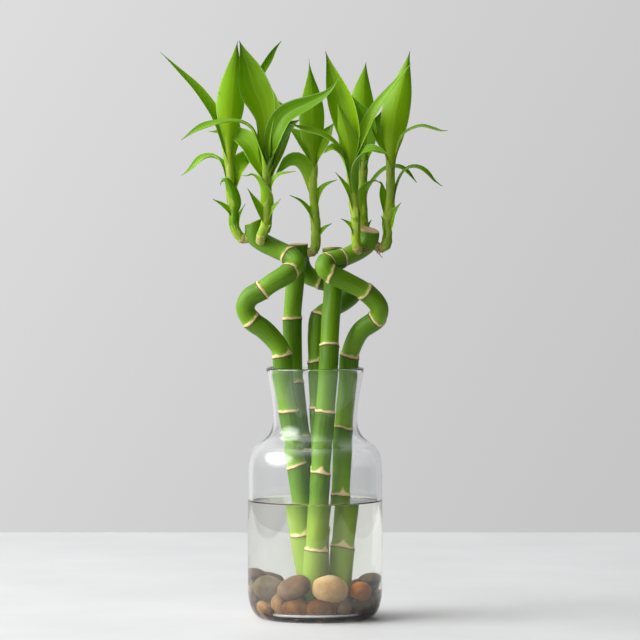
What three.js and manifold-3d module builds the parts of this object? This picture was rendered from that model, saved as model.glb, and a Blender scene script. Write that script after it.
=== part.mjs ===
// Lucky bamboo standing in a clear glass vase, with water and river pebbles.
// Millimetres, +Z up. The origin is the centre of the vase's foot, on the table.
// Seen from the front, +X is to the right and +Y goes away from the viewer.
import * as THREE from "three";
import { mergeVertices } from "three/addons/utils/BufferGeometryUtils.js";
import Module from "manifold-3d";

const wasm = await Module();
wasm.setup();

// The vase: a straight body with a round heel, a soft shoulder and a flared neck
const vaseHeight = 168;
const footRadius = 33;
const bodyRadius = 45;
const bodyWall = 3;
const baseThickness = 5;
const heelTop = 22;
const bodyTop = 93;
const shoulderHeight = 117;
const shoulderRadius = 38;
const neckHeight = 132;
const neckRadius = 28.1;
const neckWall = 2.2;
const lipRadius = 32.6;
const lipThickness = 2.8;
const vaseSides = 24;

// The water, and the gap that every two touching pieces keep
const waterLevel = 78.5;
const meniscusRise = 1.1;
const seatGap = 0.3;
const floorHeight = baseThickness + seatGap;
const footHeight = floorHeight + 0.8;

// The stalks: raised rings mark the nodes
const stalkSides = 9;
const ringRise = 0.5;
const ringHalfWidth = 1.7;
const turnPerStation = THREE.MathUtils.degToRad(16);

// The shoots: a slim stem wrapped by leaf sheaths, and spear shaped leaves
const stemSides = 6;
const stemRadius = 2.9;
const stemTipRadius = 2;
const collarRadius = 3.7;
const leafThickness = 0.75;
const leafTipWidth = 1;
const leafWidestAt = 0.4;
const leafFold = 0.32;
const leafRowLength = 12;
const leafFewestRows = 3;
const leafMostRows = 7;

// Each stalk's middle line from its foot to its cut top, and which of those points are nodes
const stalks = {
  stalk_left_curl: {
    radius: 6.4,
    nodes: [1, 2, 3, 5, 9, 12, 14, 16],
    route: [
      [1, -2, footHeight],
      [-6, -4, 57.5],
      [-12.3, -5.8, 103],
      [-17.2, -7.2, 139],
      [-21, -7.5, 163],
      [-22, -8, 175.5],
      [-24, -8.5, 181],
      [-29, -9.5, 187.5],
      [-35, -11, 193.5],
      [-43, -12, 199.5],
      [-46.5, -13, 207],
      [-43.5, -14, 214],
      [-35.5, -15, 219],
      [-28.5, -15.5, 224],
      [-18, -14.5, 231],
      [-12.5, -9.5, 238],
      [-17, -4, 243.5],
      [-26, -0.5, 248],
      [-35, 1, 252.5],
      [-40, 1, 256],
      [-41, 1, 260.5],
      [-40.5, 1, 265.5],
    ],
  },
  stalk_back_straight: {
    radius: 6.2,
    nodes: [1, 2, 3, 4, 6],
    route: [
      [-2.5, 16, footHeight],
      [-4.8, 15, 42],
      [-7.1, 14, 78],
      [-9.6, 13, 118],
      [-13.5, 11.7, 158],
      [-14.2, 11, 180],
      [-14.5, 10, 200],
      [-13, 9, 225],
      [-11, 8, 249.5],
    ],
  },
  stalk_front_straight: {
    radius: 6.5,
    nodes: [1, 2, 3, 5],
    route: [
      [-2, -17, footHeight],
      [0.7, -17.2, 47.5],
      [3.7, -17.4, 98.5],
      [6.5, -17.3, 139],
      [8.8, -15.7, 168],
      [9.5, -13.5, 184],
      [10.5, -9.5, 201],
      [12, -4, 217.5],
      [12, 1.5, 233],
      [11.5, 4.3, 247.5],
    ],
  },
  stalk_right_curl: {
    radius: 6.5,
    nodes: [1, 2, 3, 5, 8, 10, 12, 14, 16],
    route: [
      [14, -8, footHeight],
      [15.5, -5.6, 49],
      [16.8, -3.7, 83],
      [18.4, -1.4, 126.5],
      [22, 0.5, 162],
      [23, 0.5, 175],
      [26, -0.5, 183.5],
      [31, -2.5, 192],
      [42, -5, 200.5],
      [43, -8.5, 208.5],
      [33.5, -12.5, 219],
      [22, -17, 225],
      [11, -20.5, 230.5],
      [6.3, -21.5, 236],
      [8.5, -17, 241],
      [14.5, -13, 242],
      [19.5, -8.8, 242],
      [31.5, -2, 248.5],
      [36, -1.3, 253],
      [36.5, -1, 261.5],
    ],
  },
  stalk_back_curl: {
    radius: 6.2,
    nodes: [1, 2, 3, 4, 6, 9, 12],
    route: [
      [10, 10, footHeight],
      [7, 10.4, 60],
      [4.8, 10.8, 100],
      [2.6, 11, 140],
      [1.5, 11, 171.5],
      [1.5, 12, 190],
      [3.5, 13, 201.5],
      [12.5, 15, 207.5],
      [20, 16.5, 212],
      [25, 20.5, 217],
      [23, 25, 220.5],
      [15.5, 27, 222.5],
      [3.7, 27, 225.5],
      [-5, 26.5, 229],
      [-9.5, 25.5, 236],
      [-10.5, 24.5, 246],
    ],
  },
};

// Each shoot's stem, and its leaves: route from the stem to the tip, full width, and turn.
// A turn of 0 shows the leaf's face to the front, 90 its edge with the face looking up or in
// on a leaf that arches left, and -90 the same on one that arches right.
const shoots = {
  shoot_left_end: {
    stem: [
      [-47.7, 1, 253.8],
      [-51, 1, 254.6],
      [-54.5, 1, 259.5],
      [-53.5, 1, 266],
      [-55, 2, 283.5],
      [-56.5, 2, 295.5],
      [-57, 3, 313.5],
    ],
    leaves: [
      { width: 18, turn: 10, route: [[-57, 3, 308], [-58, 3, 326], [-55.5, 2, 353], [-52, -3, 385]] },
      { width: 11, turn: 55, route: [[-57, 3, 300], [-65, 7, 333], [-82, 13, 360], [-103.5, 18, 379.5]] },
      {
        width: 10,
        turn: 70,
        route: [[-56, 2, 291], [-61, 5, 305], [-71, 10, 311], [-80, 12, 307.5], [-89, 14, 296]],
      },
      { width: 11, turn: -60, route: [[-55.5, 2, 284], [-51.5, 5, 303], [-47.5, 9, 310], [-48.5, 14, 298]] },
      { width: 7, turn: 50, route: [[-54.5, 1, 268], [-60, -2, 275.5], [-68, -5, 280]] },
      { width: 7, turn: -40, route: [[-54, 1, 257], [-49.5, 2, 266], [-46, 5, 278]] },
      { width: 6, turn: 20, route: [[-55, 2, 279], [-57, -2, 286], [-59, -5, 293]] },
      { width: 12, turn: 170, route: [[-57, 3, 302], [-56, 9, 325], [-60, 21, 346], [-62, 36, 352]] },
    ],
  },
  shoot_left_front: {
    stem: [
      [-35.5, -6.6, 252.8],
      [-35, -8.6, 253.6],
      [-34, -9.6, 257],
      [-33, -9.5, 263],
      [-33, -9.5, 275],
      [-32, -9, 297],
      [-32.5, -9, 312],
    ],
    leaves: [
      { width: 19, turn: 10, route: [[-32, -9, 305], [-35, -10, 332], [-42.5, -14, 359], [-49.5, -22, 383]] },
      {
        width: 13,
        turn: -45,
        route: [[-32, -9, 305], [-21, -12, 332], [-10, -14, 340.5], [3.5, -16, 349], [15.5, -17, 359.5]],
      },
      { width: 12, turn: 0, route: [[-32, -9, 296], [-26, -3, 325], [-28, 0, 347], [-33, 1, 362]] },
      { width: 10, turn: 30, route: [[-32, -8, 298], [-35, -1, 340], [-23, 6, 385]] },
      {
        width: 10,
        turn: 60,
        route: [
          [-32, -9, 294],
          [-39, -12, 319],
          [-50, -14, 332],
          [-63, -16, 331],
          [-74, -17, 328],
          [-88.5, -19, 319],
        ],
      },
      { width: 14, turn: 35, route: [[-32.5, -9, 289], [-40, -8, 307], [-53, -7, 325], [-70, -7, 325]] },
      { width: 11, turn: -30, route: [[-32, -9, 290], [-27, -7, 308], [-17, -4, 324], [-10, -1, 331.5]] },
      { width: 7, turn: 30, route: [[-32.5, -9, 294], [-38, -15, 316], [-39, -20, 331]] },
      { width: 8, turn: 50, route: [[-32.5, -9, 280], [-37, -12, 290], [-42, -14, 297], [-48, -16, 296]] },
      { width: 8, turn: -65, route: [[-32, -9, 280], [-26.5, -13, 294], [-21, -16, 297], [-12.5, -19, 299]] },
      { width: 7, turn: 40, route: [[-33, -9.5, 265], [-37, -12, 275], [-45, -15, 287.5]] },
      { width: 7, turn: -40, route: [[-33, -9.5, 263], [-27, -12, 275], [-22.5, -14, 281]] },
    ],
  },
  shoot_middle: {
    stem: [
      [-3.9, 8, 243.5],
      [-1.6, 7.7, 244.3],
      [0.3, 6.7, 248.5],
      [0.7, 6, 262],
      [0.5, 6, 277],
      [-1.2, 6, 306],
    ],
    leaves: [
      { width: 16, turn: 5, route: [[-1, 6, 300], [-1.5, 6, 326.5], [-2.5, 4, 349.5], [-4.5, -1, 373]] },
      { width: 12, turn: 40, route: [[-1, 6, 292], [-7.5, 10, 311], [-17, 15, 328]] },
      { width: 9, turn: -50, route: [[-0.5, 6, 292], [3, 11, 311], [12.5, 17, 331.5]] },
      { width: 12, turn: 60, route: [[-0.5, 6, 280], [-10, 4, 308], [-18.5, 2, 310], [-27.5, 2, 295]] },
      { width: 9, turn: -60, route: [[0.6, 6, 271], [6, 4, 288], [15, 3, 293]] },
      { width: 9, turn: 55, route: [[0.6, 6, 262], [-8, 3, 277], [-16.5, 1, 283]] },
      { width: 6, turn: -45, route: [[0.4, 6.3, 250], [4.5, 5, 258], [11, 4, 264]] },
      { width: 13, turn: 175, route: [[-0.5, 6, 284], [2, 15, 308], [-2, 30, 326], [-6, 44, 325]] },
    ],
  },
  shoot_right_front: {
    stem: [
      [28.2, -12, 246.8],
      [28, -13.4, 247.7],
      [27.3, -13.9, 251],
      [27, -13.5, 257],
      [26.5, -12.5, 269],
      [25, -12, 281],
      [23.5, -11, 313],
    ],
    leaves: [
      { width: 17, turn: -8, route: [[24, -11, 306], [20.5, -12, 332.5], [14.5, -14, 356], [7.5, -19, 377]] },
      { width: 13, turn: 165, route: [[24, -11.5, 298], [18.5, -17, 322], [14.5, -25, 343.5]] },
      {
        width: 13,
        turn: -55,
        route: [[24, -11.5, 302], [29, -13, 324], [37.5, -15, 340.5], [45, -16, 351], [63, -21, 370]],
      },
      {
        width: 9,
        turn: 70,
        route: [[24.8, -11.8, 285], [18, -12, 305], [9.5, -14, 320], [-2, -16, 328], [-15, -18, 330.5]],
      },
      { width: 11, turn: 60, route: [[25.5, -12, 279], [19.5, -16, 298], [13, -20, 315], [6, -22, 310]] },
      { width: 15, turn: -40, route: [[25.5, -12, 275], [32, -16, 309], [41.5, -19, 315], [48.5, -21, 309]] },
      { width: 9, turn: 45, route: [[26, -12.5, 272], [19, -15, 291], [13.5, -17, 298]] },
      { width: 7, turn: 50, route: [[27, -13.5, 254], [23, -14.5, 262], [17, -16, 267.5]] },
    ],
  },
  shoot_right_back: {
    stem: [
      [32.5, 6.2, 250],
      [32.6, 8.6, 250.9],
      [32.8, 10.2, 254.5],
      [32.8, 10.3, 260],
      [31.8, 10.3, 275],
      [32, 10.3, 299.5],
      [34, 10.5, 318],
    ],
    leaves: [
      { width: 16, turn: 15, route: [[33.5, 10.5, 312], [34.5, 11, 332], [34.5, 14, 353], [34, 20, 371.5]] },
      {
        width: 11,
        turn: -70,
        route: [[32, 10.3, 277], [36, 12, 287], [42, 14, 297], [53, 16, 302.5], [68.5, 19, 291.5]],
      },
      { width: 9, turn: -10, route: [[32.5, 10.3, 257], [30, 14, 268], [35, 18, 277]] },
      { width: 6, turn: -50, route: [[32.6, 10.2, 255], [35, 11, 260], [38, 12, 266.5]] },
      { width: 9, turn: -30, route: [[32, 10.3, 272], [35.5, 16, 286], [41.5, 21, 294]] },
      { width: 12, turn: 165, route: [[32.5, 10.3, 300], [29, 18, 324], [24, 33, 343], [20, 46, 344]] },
    ],
  },
  shoot_right_end: {
    stem: [
      [41.3, -1, 248],
      [45, -0.5, 245.8],
      [49, 0, 248.5],
      [50, 0, 254],
      [48.3, 0, 263],
      [50, 0, 275],
      [50.5, 0, 289],
      [50, 0, 305],
    ],
    leaves: [
      { width: 17, turn: -10, route: [[50.2, 0, 298], [52.5, 0, 326], [56.5, 2, 353], [63, 8, 378.5]] },
      { width: 14, turn: 30, route: [[50.2, 0, 295], [47, 3, 311], [43.5, 6, 326.5], [38, 10, 341]] },
      {
        width: 10,
        turn: -70,
        route: [[50.2, 0, 297], [58, -2, 325], [65, -3, 329], [76, -5, 329], [88, -7, 326]],
      },
      {
        width: 11,
        turn: -65,
        route: [[50.2, 0, 274], [53, 0, 287], [58, 1, 299], [66, 2, 303], [75, 3, 299.5], [84.5, 4, 289]],
      },
      { width: 9, turn: 30, route: [[49.7, 0, 269.5], [46.5, 1, 280], [44, 2, 292]] },
      { width: 8, turn: -40, route: [[48.6, 0, 261], [52.5, -3, 271], [57.5, -5, 279]] },
      { width: 6, turn: 40, route: [[49, 0, 257], [46, -2, 263], [44, -4, 269]] },
      { width: 12, turn: -150, route: [[50.2, 0, 292], [55, -8, 318], [61, -20, 335], [66, -31, 335]] },
    ],
  },
};

// The pebbles, in the order they were dropped in: place, size and lean of the ones that show
// in front, then how many more lie behind them in that layer
const pebbleLayers = [
  {
    front: [
      { tone: "tan", at: [-29, -13], size: [13, 11, 10], lean: 10 },
      { tone: "tan", at: [-23, -23], size: [9, 9, 11], lean: 20 },
      { tone: "brown", at: [-11.5, -29], size: [17, 12, 11], lean: 0 },
      { tone: "brown", at: [6.5, -30], size: [19, 12, 11], lean: 4 },
      { tone: "grey", at: [19, -27], size: [10, 9, 9], lean: 0 },
      { tone: "grey", at: [28, -14], size: [19, 13, 13], lean: -6 },
    ],
    behind: 6,
  },
  {
    front: [
      { tone: "grey", at: [-29, -16], size: [18, 15, 14], lean: -12 },
      { tone: "grey", at: [-13, -30], size: [23, 15, 15], lean: 24 },
      { tone: "cream", at: [10, -31], size: [24, 16, 16], lean: -8 },
      { tone: "tan", at: [27, -22], size: [15, 11, 11], lean: -10 },
    ],
    behind: 4,
  },
  {
    front: [
      { tone: "brown", at: [-32, -3], size: [19, 14, 12], lean: 8 },
      { tone: "grey", at: [32, -5], size: [21, 14, 11], lean: -5 },
    ],
    behind: 1,
  },
];
const hiddenTones = ["grey", "brown", "tan", "brown"];
const hiddenPebbleSize = [17, 14, 12];
const pebbleSizeSpread = 0.2;
const goldenRatio = 0.618;
const hiddenArcStart = -15;
const hiddenArc = 210;
const facetShrink = 0.97;
const pocketGap = 0.7;
const pebbleDropHeight = 50;
const pebbleStep = 0.5;
const pebbleSink = 0.1;

// Colours, sRGB
const glass = new THREE.MeshStandardMaterial({ color: 0xdfe8e6, roughness: 0.03, metalness: 0 });
const water = new THREE.MeshStandardMaterial({ color: 0xe4ebe2, roughness: 0.02, metalness: 0 });
const stalkGreen = new THREE.MeshStandardMaterial({ color: 0x5f9a2f, roughness: 0.4, metalness: 0 });
const leafGreen = new THREE.MeshStandardMaterial({ color: 0x86bd3c, roughness: 0.45, metalness: 0 });
const stoneColours = { grey: 0x77746a, brown: 0x7a5436, tan: 0xb07c48, cream: 0xcdb592 };
const stones = {};
for (const [tone, color] of Object.entries(stoneColours)) {
  stones[tone] = new THREE.MeshStandardMaterial({ color, roughness: 0.55, metalness: 0 });
}

const part = new THREE.Group();

function addPiece(name, geometry, material) {
  const mesh = new THREE.Mesh(geometry, material);
  mesh.name = name;
  part.add(mesh);
}

// Solids for joining and cutting

function solidOf(geometry) {
  const bare = geometry.clone();
  bare.deleteAttribute("normal");
  bare.deleteAttribute("uv");
  const merged = mergeVertices(bare, 1e-4);
  const corners = merged.index.array;
  const triVerts = [];
  for (let i = 0; i < corners.length; i += 3) {
    const [a, b, c] = [corners[i], corners[i + 1], corners[i + 2]];
    if (a !== b && b !== c && c !== a) triVerts.push(a, b, c);
  }
  return new wasm.Manifold(
    new wasm.Mesh({
      numProp: 3,
      vertProperties: new Float32Array(merged.attributes.position.array),
      triVerts: new Uint32Array(triVerts),
    }),
  );
}

// The geometry of a solid's one large body: sealed hollows are filled and loose scraps dropped
function geometryOf(solid) {
  const bodies = solid.decompose().sort((a, b) => b.volume() - a.volume());
  const mesh = bodies[0].getMesh();
  const geometry = new THREE.BufferGeometry();
  geometry.setAttribute("position", new THREE.BufferAttribute(mesh.vertProperties, 3));
  geometry.setIndex(new THREE.BufferAttribute(mesh.triVerts, 1));
  return geometry;
}

// The vase and the water share one inner outline

function innerOutline(path, gap, startHeight) {
  const wall = bodyRadius - bodyWall - gap;
  path.lineTo(wall, startHeight);
  path.lineTo(wall, heelTop - bodyWall);
  path.quadraticCurveTo(wall, baseThickness + gap, footRadius - 2 - gap, baseThickness + gap);
  path.lineTo(0, baseThickness + gap);
}

function lathe(path, curvePoints, sides) {
  const geometry = new THREE.LatheGeometry(path.getPoints(curvePoints), sides);
  geometry.rotateX(Math.PI / 2);
  return geometry;
}

function makeVase() {
  const innerNeck = neckRadius - neckWall;
  const lipFoot = vaseHeight - lipThickness / 2;
  const innerBody = bodyRadius - bodyWall;
  const path = new THREE.Path();
  path.moveTo(0, 0);
  path.lineTo(footRadius, 0);
  path.quadraticCurveTo(bodyRadius, 0, bodyRadius, heelTop);
  path.lineTo(bodyRadius, bodyTop);
  path.bezierCurveTo(bodyRadius, 106, 44, 113.5, shoulderRadius, shoulderHeight);
  path.bezierCurveTo(32, 120.5, 28.6, 124.5, neckRadius, neckHeight);
  path.bezierCurveTo(neckRadius, 142, 30.2, 152, lipRadius, lipFoot);
  path.absarc(lipRadius - lipThickness / 2, lipFoot, lipThickness / 2, 0, Math.PI);
  path.bezierCurveTo(28, 152, innerNeck, 142, innerNeck, neckHeight);
  path.bezierCurveTo(26.4, 123, 29.5, 118, shoulderRadius - 2.5, shoulderHeight - 2.5);
  path.bezierCurveTo(41, 111.5, innerBody, 105, innerBody, bodyTop);
  innerOutline(path, 0, bodyTop);
  addPiece("vase", lathe(path, 4, vaseSides), glass);
}

// A straight shape along +Y, laid along a curve: x and z become the curve's two sides
function bendAlong(geometry, curve, length) {
  const perMillimetre = 2;
  const steps = Math.ceil(length * perMillimetre);
  const frames = curve.computeFrenetFrames(steps, false);
  const corner = new THREE.Vector3();
  const place = geometry.attributes.position;
  for (let i = 0; i < place.count; i++) {
    corner.fromBufferAttribute(place, i);
    const step = THREE.MathUtils.clamp(Math.round((corner.y / length) * steps), 0, steps);
    const at = curve.getPointAt(step / steps);
    at.addScaledVector(frames.binormals[step], corner.x);
    at.addScaledVector(frames.normals[step], corner.z);
    place.setXYZ(i, at.x, at.y, at.z);
  }
  return geometry;
}

function curveThrough(route) {
  return new THREE.CatmullRomCurve3(route.map((p) => new THREE.Vector3(...p)), false, "centripetal");
}

// How far along a curve each of its own route points lies
function distancesAlong(curve, route) {
  const fine = 40;
  const lengths = curve.getLengths(fine * (route.length - 1));
  return route.map((_, i) => lengths[i * fine]);
}

// Places along a curve where it has turned enough to need a new ring of corners
function turningStations(curve, length) {
  const stations = [];
  let last = curve.getTangentAt(0);
  for (let s = 1; s < length - 1; s++) {
    const tangent = curve.getTangentAt(s / length);
    if (tangent.angleTo(last) > turnPerStation) {
      stations.push(s);
      last = tangent;
    }
  }
  return stations;
}

function makeStalk(name, { radius, nodes, route }) {
  const curve = curveThrough(route);
  const length = curve.getLength();
  const distances = distancesAlong(curve, route);
  const rings = nodes.map((i) => distances[i]);
  const plain = turningStations(curve, length)
    .filter((s) => rings.every((ring) => Math.abs(s - ring) > ringHalfWidth + 1.5))
    .map((s) => [radius, s]);
  const raised = rings.flatMap((ring) => [
    [radius, ring - ringHalfWidth],
    [radius + ringRise, ring],
    [radius, ring + ringHalfWidth],
  ]);
  const side = [...plain, ...raised].sort((a, b) => a[1] - b[1]);
  const profile = [[0, 0], [radius, 0], ...side, [radius, length], [0, length]];
  const straight = new THREE.LatheGeometry(profile.map(([r, s]) => new THREE.Vector2(r, s)), stalkSides);
  addPiece(name, bendAlong(straight, curve, length), stalkGreen);
}

// A leaf: two faces split into triangles alike, closed by a rim

function leafWidthAt(s) {
  const sheath = 0.3;
  if (s < leafWidestAt) return sheath + (1 - sheath) * Math.sin((Math.PI / 2) * (s / leafWidestAt));
  return Math.cos((Math.PI / 2) * ((s - leafWidestAt) / (1 - leafWidestAt))) ** 1.3;
}

function makeLeaf({ width, turn, route }) {
  const curve = curveThrough(route);
  const rowsWanted = Math.round(curve.getLength() / leafRowLength);
  const rows = THREE.MathUtils.clamp(rowsWanted, leafFewestRows, leafMostRows);
  const angle = THREE.MathUtils.degToRad(turn);
  const facing = new THREE.Vector3(Math.cos(angle), Math.sin(angle), 0);
  const positions = [];
  for (const side of [-0.5, 0.5]) {
    for (let row = 0; row <= rows; row++) {
      const s = row / rows;
      const tangent = curve.getTangentAt(s);
      const across = facing.clone().addScaledVector(tangent, -facing.dot(tangent)).normalize();
      const normal = new THREE.Vector3().crossVectors(across, tangent);
      const half = Math.max(width * leafWidthAt(s), leafTipWidth) / 2;
      for (const u of [-1, 0, 1]) {
        const at = curve.getPointAt(s);
        at.addScaledVector(across, u * half);
        at.addScaledVector(normal, side * leafThickness + Math.abs(u) * half * leafFold);
        positions.push(...at.toArray());
      }
    }
  }
  const corner = (side, row, column) => side * (rows + 1) * 3 + row * 3 + column;
  const faces = [];
  const quad = (a, b, c, d) => faces.push(a, c, b, a, d, c);
  for (let row = 0; row < rows; row++) {
    for (const column of [0, 1]) {
      const [a, b] = [corner(1, row, column), corner(1, row, column + 1)];
      const [c, d] = [corner(1, row + 1, column + 1), corner(1, row + 1, column)];
      const under = corner(1, 0, 0);
      faces.push(a, b, c, a, c, d);
      faces.push(a - under, c - under, b - under, a - under, d - under, c - under);
    }
    quad(corner(0, row, 0), corner(0, row + 1, 0), corner(1, row + 1, 0), corner(1, row, 0));
    quad(corner(0, row + 1, 2), corner(0, row, 2), corner(1, row, 2), corner(1, row + 1, 2));
  }
  for (const column of [0, 1]) {
    const next = column + 1;
    quad(corner(0, 0, next), corner(0, 0, column), corner(1, 0, column), corner(1, 0, next));
    quad(corner(0, rows, column), corner(0, rows, next), corner(1, rows, next), corner(1, rows, column));
  }
  const geometry = new THREE.BufferGeometry();
  geometry.setAttribute("position", new THREE.Float32BufferAttribute(positions, 3));
  geometry.setIndex(faces);
  return geometry;
}

function makeStem(route) {
  const curve = curveThrough(route);
  const length = curve.getLength();
  const taper = (s) => THREE.MathUtils.lerp(stemRadius, stemTipRadius, s / length);
  const side = turningStations(curve, length)
    .filter((s) => s > 3)
    .map((s) => [taper(s), s]);
  const profile = [[0, 0], [collarRadius, 0], [stemRadius, 2], ...side, [stemTipRadius, length], [0, length]];
  const straight = new THREE.LatheGeometry(profile.map(([r, s]) => new THREE.Vector2(r, s)), stemSides);
  return bendAlong(straight, curve, length);
}

function makeShoot(name, { stem, leaves }) {
  let shoot = solidOf(makeStem(stem));
  for (const leaf of leaves) shoot = shoot.add(solidOf(makeLeaf(leaf)));
  addPiece(name, geometryOf(shoot), leafGreen);
}

// The pebbles settle one by one: each sinks, and slides aside where it can, until nothing lets it lower

function seededDraw(seed) {
  let state = seed;
  return () => {
    state = (state * 1664525 + 1013904223) % 4294967296;
    return state / 4294967296;
  };
}

const draw = seededDraw(7);
const pebbleTests = new THREE.IcosahedronGeometry(1, 3).attributes.position;

function pebbleMatrix(pebble, grow = 0, scale = 1) {
  const spin = new THREE.Euler(0, THREE.MathUtils.degToRad(-pebble.lean), pebble.spin, "ZYX");
  return new THREE.Matrix4().compose(
    new THREE.Vector3(...pebble.place),
    new THREE.Quaternion().setFromEuler(spin),
    new THREE.Vector3(...pebble.size.map((across) => (across / 2) * scale + grow)),
  );
}

function innerRadiusAt(z) {
  const heel = heelTop - bodyWall;
  const wall = bodyRadius - bodyWall;
  if (z >= heel) return wall;
  const t = 1 - Math.sqrt(Math.max(0, z - baseThickness) / (heel - baseThickness));
  return wall + (footRadius - 2 - wall) * t * t;
}

function clearOfVaseAndStalks(point) {
  const radius = Math.hypot(point.x, point.y);
  const wall = innerRadiusAt(point.z) * Math.cos(Math.PI / vaseSides) - seatGap;
  if (point.z < floorHeight || radius > wall) return false;
  return Object.values(stalks).every((stalk) => {
    const [foot, next] = stalk.route;
    const rise = (point.z - foot[2]) / (next[2] - foot[2]);
    const x = THREE.MathUtils.lerp(foot[0], next[0], rise);
    const y = THREE.MathUtils.lerp(foot[1], next[1], rise);
    return Math.hypot(point.x - x, point.y - y) > stalk.radius + seatGap;
  });
}

const sideways = [];
for (let angle = 0; angle < 2 * Math.PI; angle += Math.PI / 6) {
  sideways.push([Math.cos(angle), Math.sin(angle)]);
}

function isClear(pebble, settled) {
  const own = pebbleMatrix(pebble, seatGap / 2, facetShrink);
  const into = own.clone().invert();
  const point = new THREE.Vector3();
  const reach = Math.max(...pebble.size) / 2;
  const near = settled.filter((other) => {
    const apart = Math.hypot(...pebble.place.map((v, i) => v - other.place[i]));
    return apart < reach + Math.max(...other.size) / 2 + seatGap;
  });
  for (let i = 0; i < pebbleTests.count; i++) {
    point.fromBufferAttribute(pebbleTests, i).applyMatrix4(own);
    if (!clearOfVaseAndStalks(point)) return false;
    for (const other of near) {
      if (point.clone().applyMatrix4(other.into).length() < 1) return false;
    }
  }
  for (const other of near) {
    for (let i = 0; i < pebbleTests.count; i++) {
      point.fromBufferAttribute(pebbleTests, i).applyMatrix4(other.own);
      if (point.applyMatrix4(into).length() < 1) return false;
    }
  }
  return true;
}

// The clear place nearest to where the pebble is wanted, above the ones that already lie there
function startingPlace(pebble, settled) {
  for (let reach = 0; ; reach += pebbleStep) {
    for (const [x, y] of sideways) {
      pebble.place = [pebble.at[0] + reach * x, pebble.at[1] + reach * y, pebbleDropHeight];
      if (isClear(pebble, settled)) return pebble.place;
    }
  }
}

function settle(pebble, settled) {
  pebble.place = startingPlace(pebble, settled);
  const ways = [[0, 0], ...sideways];
  let moving = true;
  while (moving) {
    moving = false;
    const from = pebble.place;
    for (const [x, y] of ways) {
      pebble.place = [from[0] + x * pebbleStep, from[1] + y * pebbleStep, from[2] - pebbleSink];
      moving = isClear(pebble, settled);
      if (moving) break;
      pebble.place = from;
    }
  }
  pebble.own = pebbleMatrix(pebble, seatGap / 2, facetShrink);
  pebble.into = pebble.own.clone().invert();
}

function hiddenPebble(index) {
  const angle = THREE.MathUtils.degToRad(hiddenArcStart + hiddenArc * ((index * goldenRatio) % 1));
  const radius = 22 + 10 * draw();
  return {
    tone: hiddenTones[index % hiddenTones.length],
    at: [radius * Math.cos(angle), radius * Math.sin(angle)],
    size: hiddenPebbleSize.map((across) => across * (1 + pebbleSizeSpread * (2 * draw() - 1))),
    lean: 20 * (draw() - 0.5),
    spin: Math.PI * draw(),
  };
}

function settlePebbles() {
  const settled = [];
  for (const { front, behind } of pebbleLayers) {
    for (const pebble of front) {
      pebble.spin = Math.atan2(pebble.at[1], pebble.at[0]) + Math.PI / 2;
      settle(pebble, settled);
      settled.push(pebble);
    }
    for (let i = 0; i < behind; i++) {
      const pebble = hiddenPebble(settled.length);
      settle(pebble, settled);
      settled.push(pebble);
    }
  }
  return settled;
}

function pebbleGeometry(pebble, grow = 0) {
  return new THREE.IcosahedronGeometry(1, 1).applyMatrix4(pebbleMatrix(pebble, grow));
}

// The water fills the vase round the stalks' plain holes and round the pebbles

function stalkHole({ radius, route }) {
  const [foot, next, above] = route.map((p) => new THREE.Vector3(...p));
  const top = next.z > waterLevel ? next : above;
  const axis = top.clone().sub(foot);
  const below = 3;
  const sides = 12;
  const hole = (radius + ringRise + seatGap) / Math.cos(Math.PI / sides);
  const geometry = new THREE.CylinderGeometry(hole, hole, axis.length() + 2 * below, sides);
  const turn = new THREE.Quaternion();
  turn.setFromUnitVectors(new THREE.Vector3(0, 1, 0), axis.clone().normalize());
  return geometry.applyQuaternion(turn).translate(...foot.clone().add(top).multiplyScalar(0.5).toArray());
}

function makeWater(pebbles) {
  const wall = bodyRadius - bodyWall - seatGap;
  const path = new THREE.Path();
  path.moveTo(0, waterLevel);
  path.lineTo(wall - meniscusRise, waterLevel);
  innerOutline(path, seatGap, waterLevel + meniscusRise);
  const outline = path.getPoints(4).reverse();
  const body = new THREE.LatheGeometry(outline, vaseSides).rotateX(Math.PI / 2);
  let solid = solidOf(body);
  for (const stalk of Object.values(stalks)) solid = solid.subtract(solidOf(stalkHole(stalk)));
  for (const pebble of pebbles) solid = solid.subtract(solidOf(pebbleGeometry(pebble, pocketGap)));
  addPiece("water", geometryOf(solid), water);
}

makeVase();
for (const [name, stalk] of Object.entries(stalks)) makeStalk(name, stalk);
for (const [name, shoot] of Object.entries(shoots)) makeShoot(name, shoot);
const pebbles = settlePebbles();
pebbles.forEach((pebble, i) => {
  const number = String(i + 1).padStart(2, "0");
  addPiece(`pebble_${pebble.tone}_${number}`, pebbleGeometry(pebble), stones[pebble.tone]);
});
makeWater(pebbles);

export default part;
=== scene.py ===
# %% [markdown]
# # Lucky bamboo in a glass vase
# Five green canes with leafy shoots stand in water, on a bed of river pebbles, in a clear vase.
# The imported model says where every piece is. Each step below makes a finer piece in that place,
# gives it the finish of the real thing, and hides the solid that it stands for.

# %% The imported model
import math
import random

import bmesh
import bpy
import numpy as np
from mathutils import Matrix, Vector, geometry, noise


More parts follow.
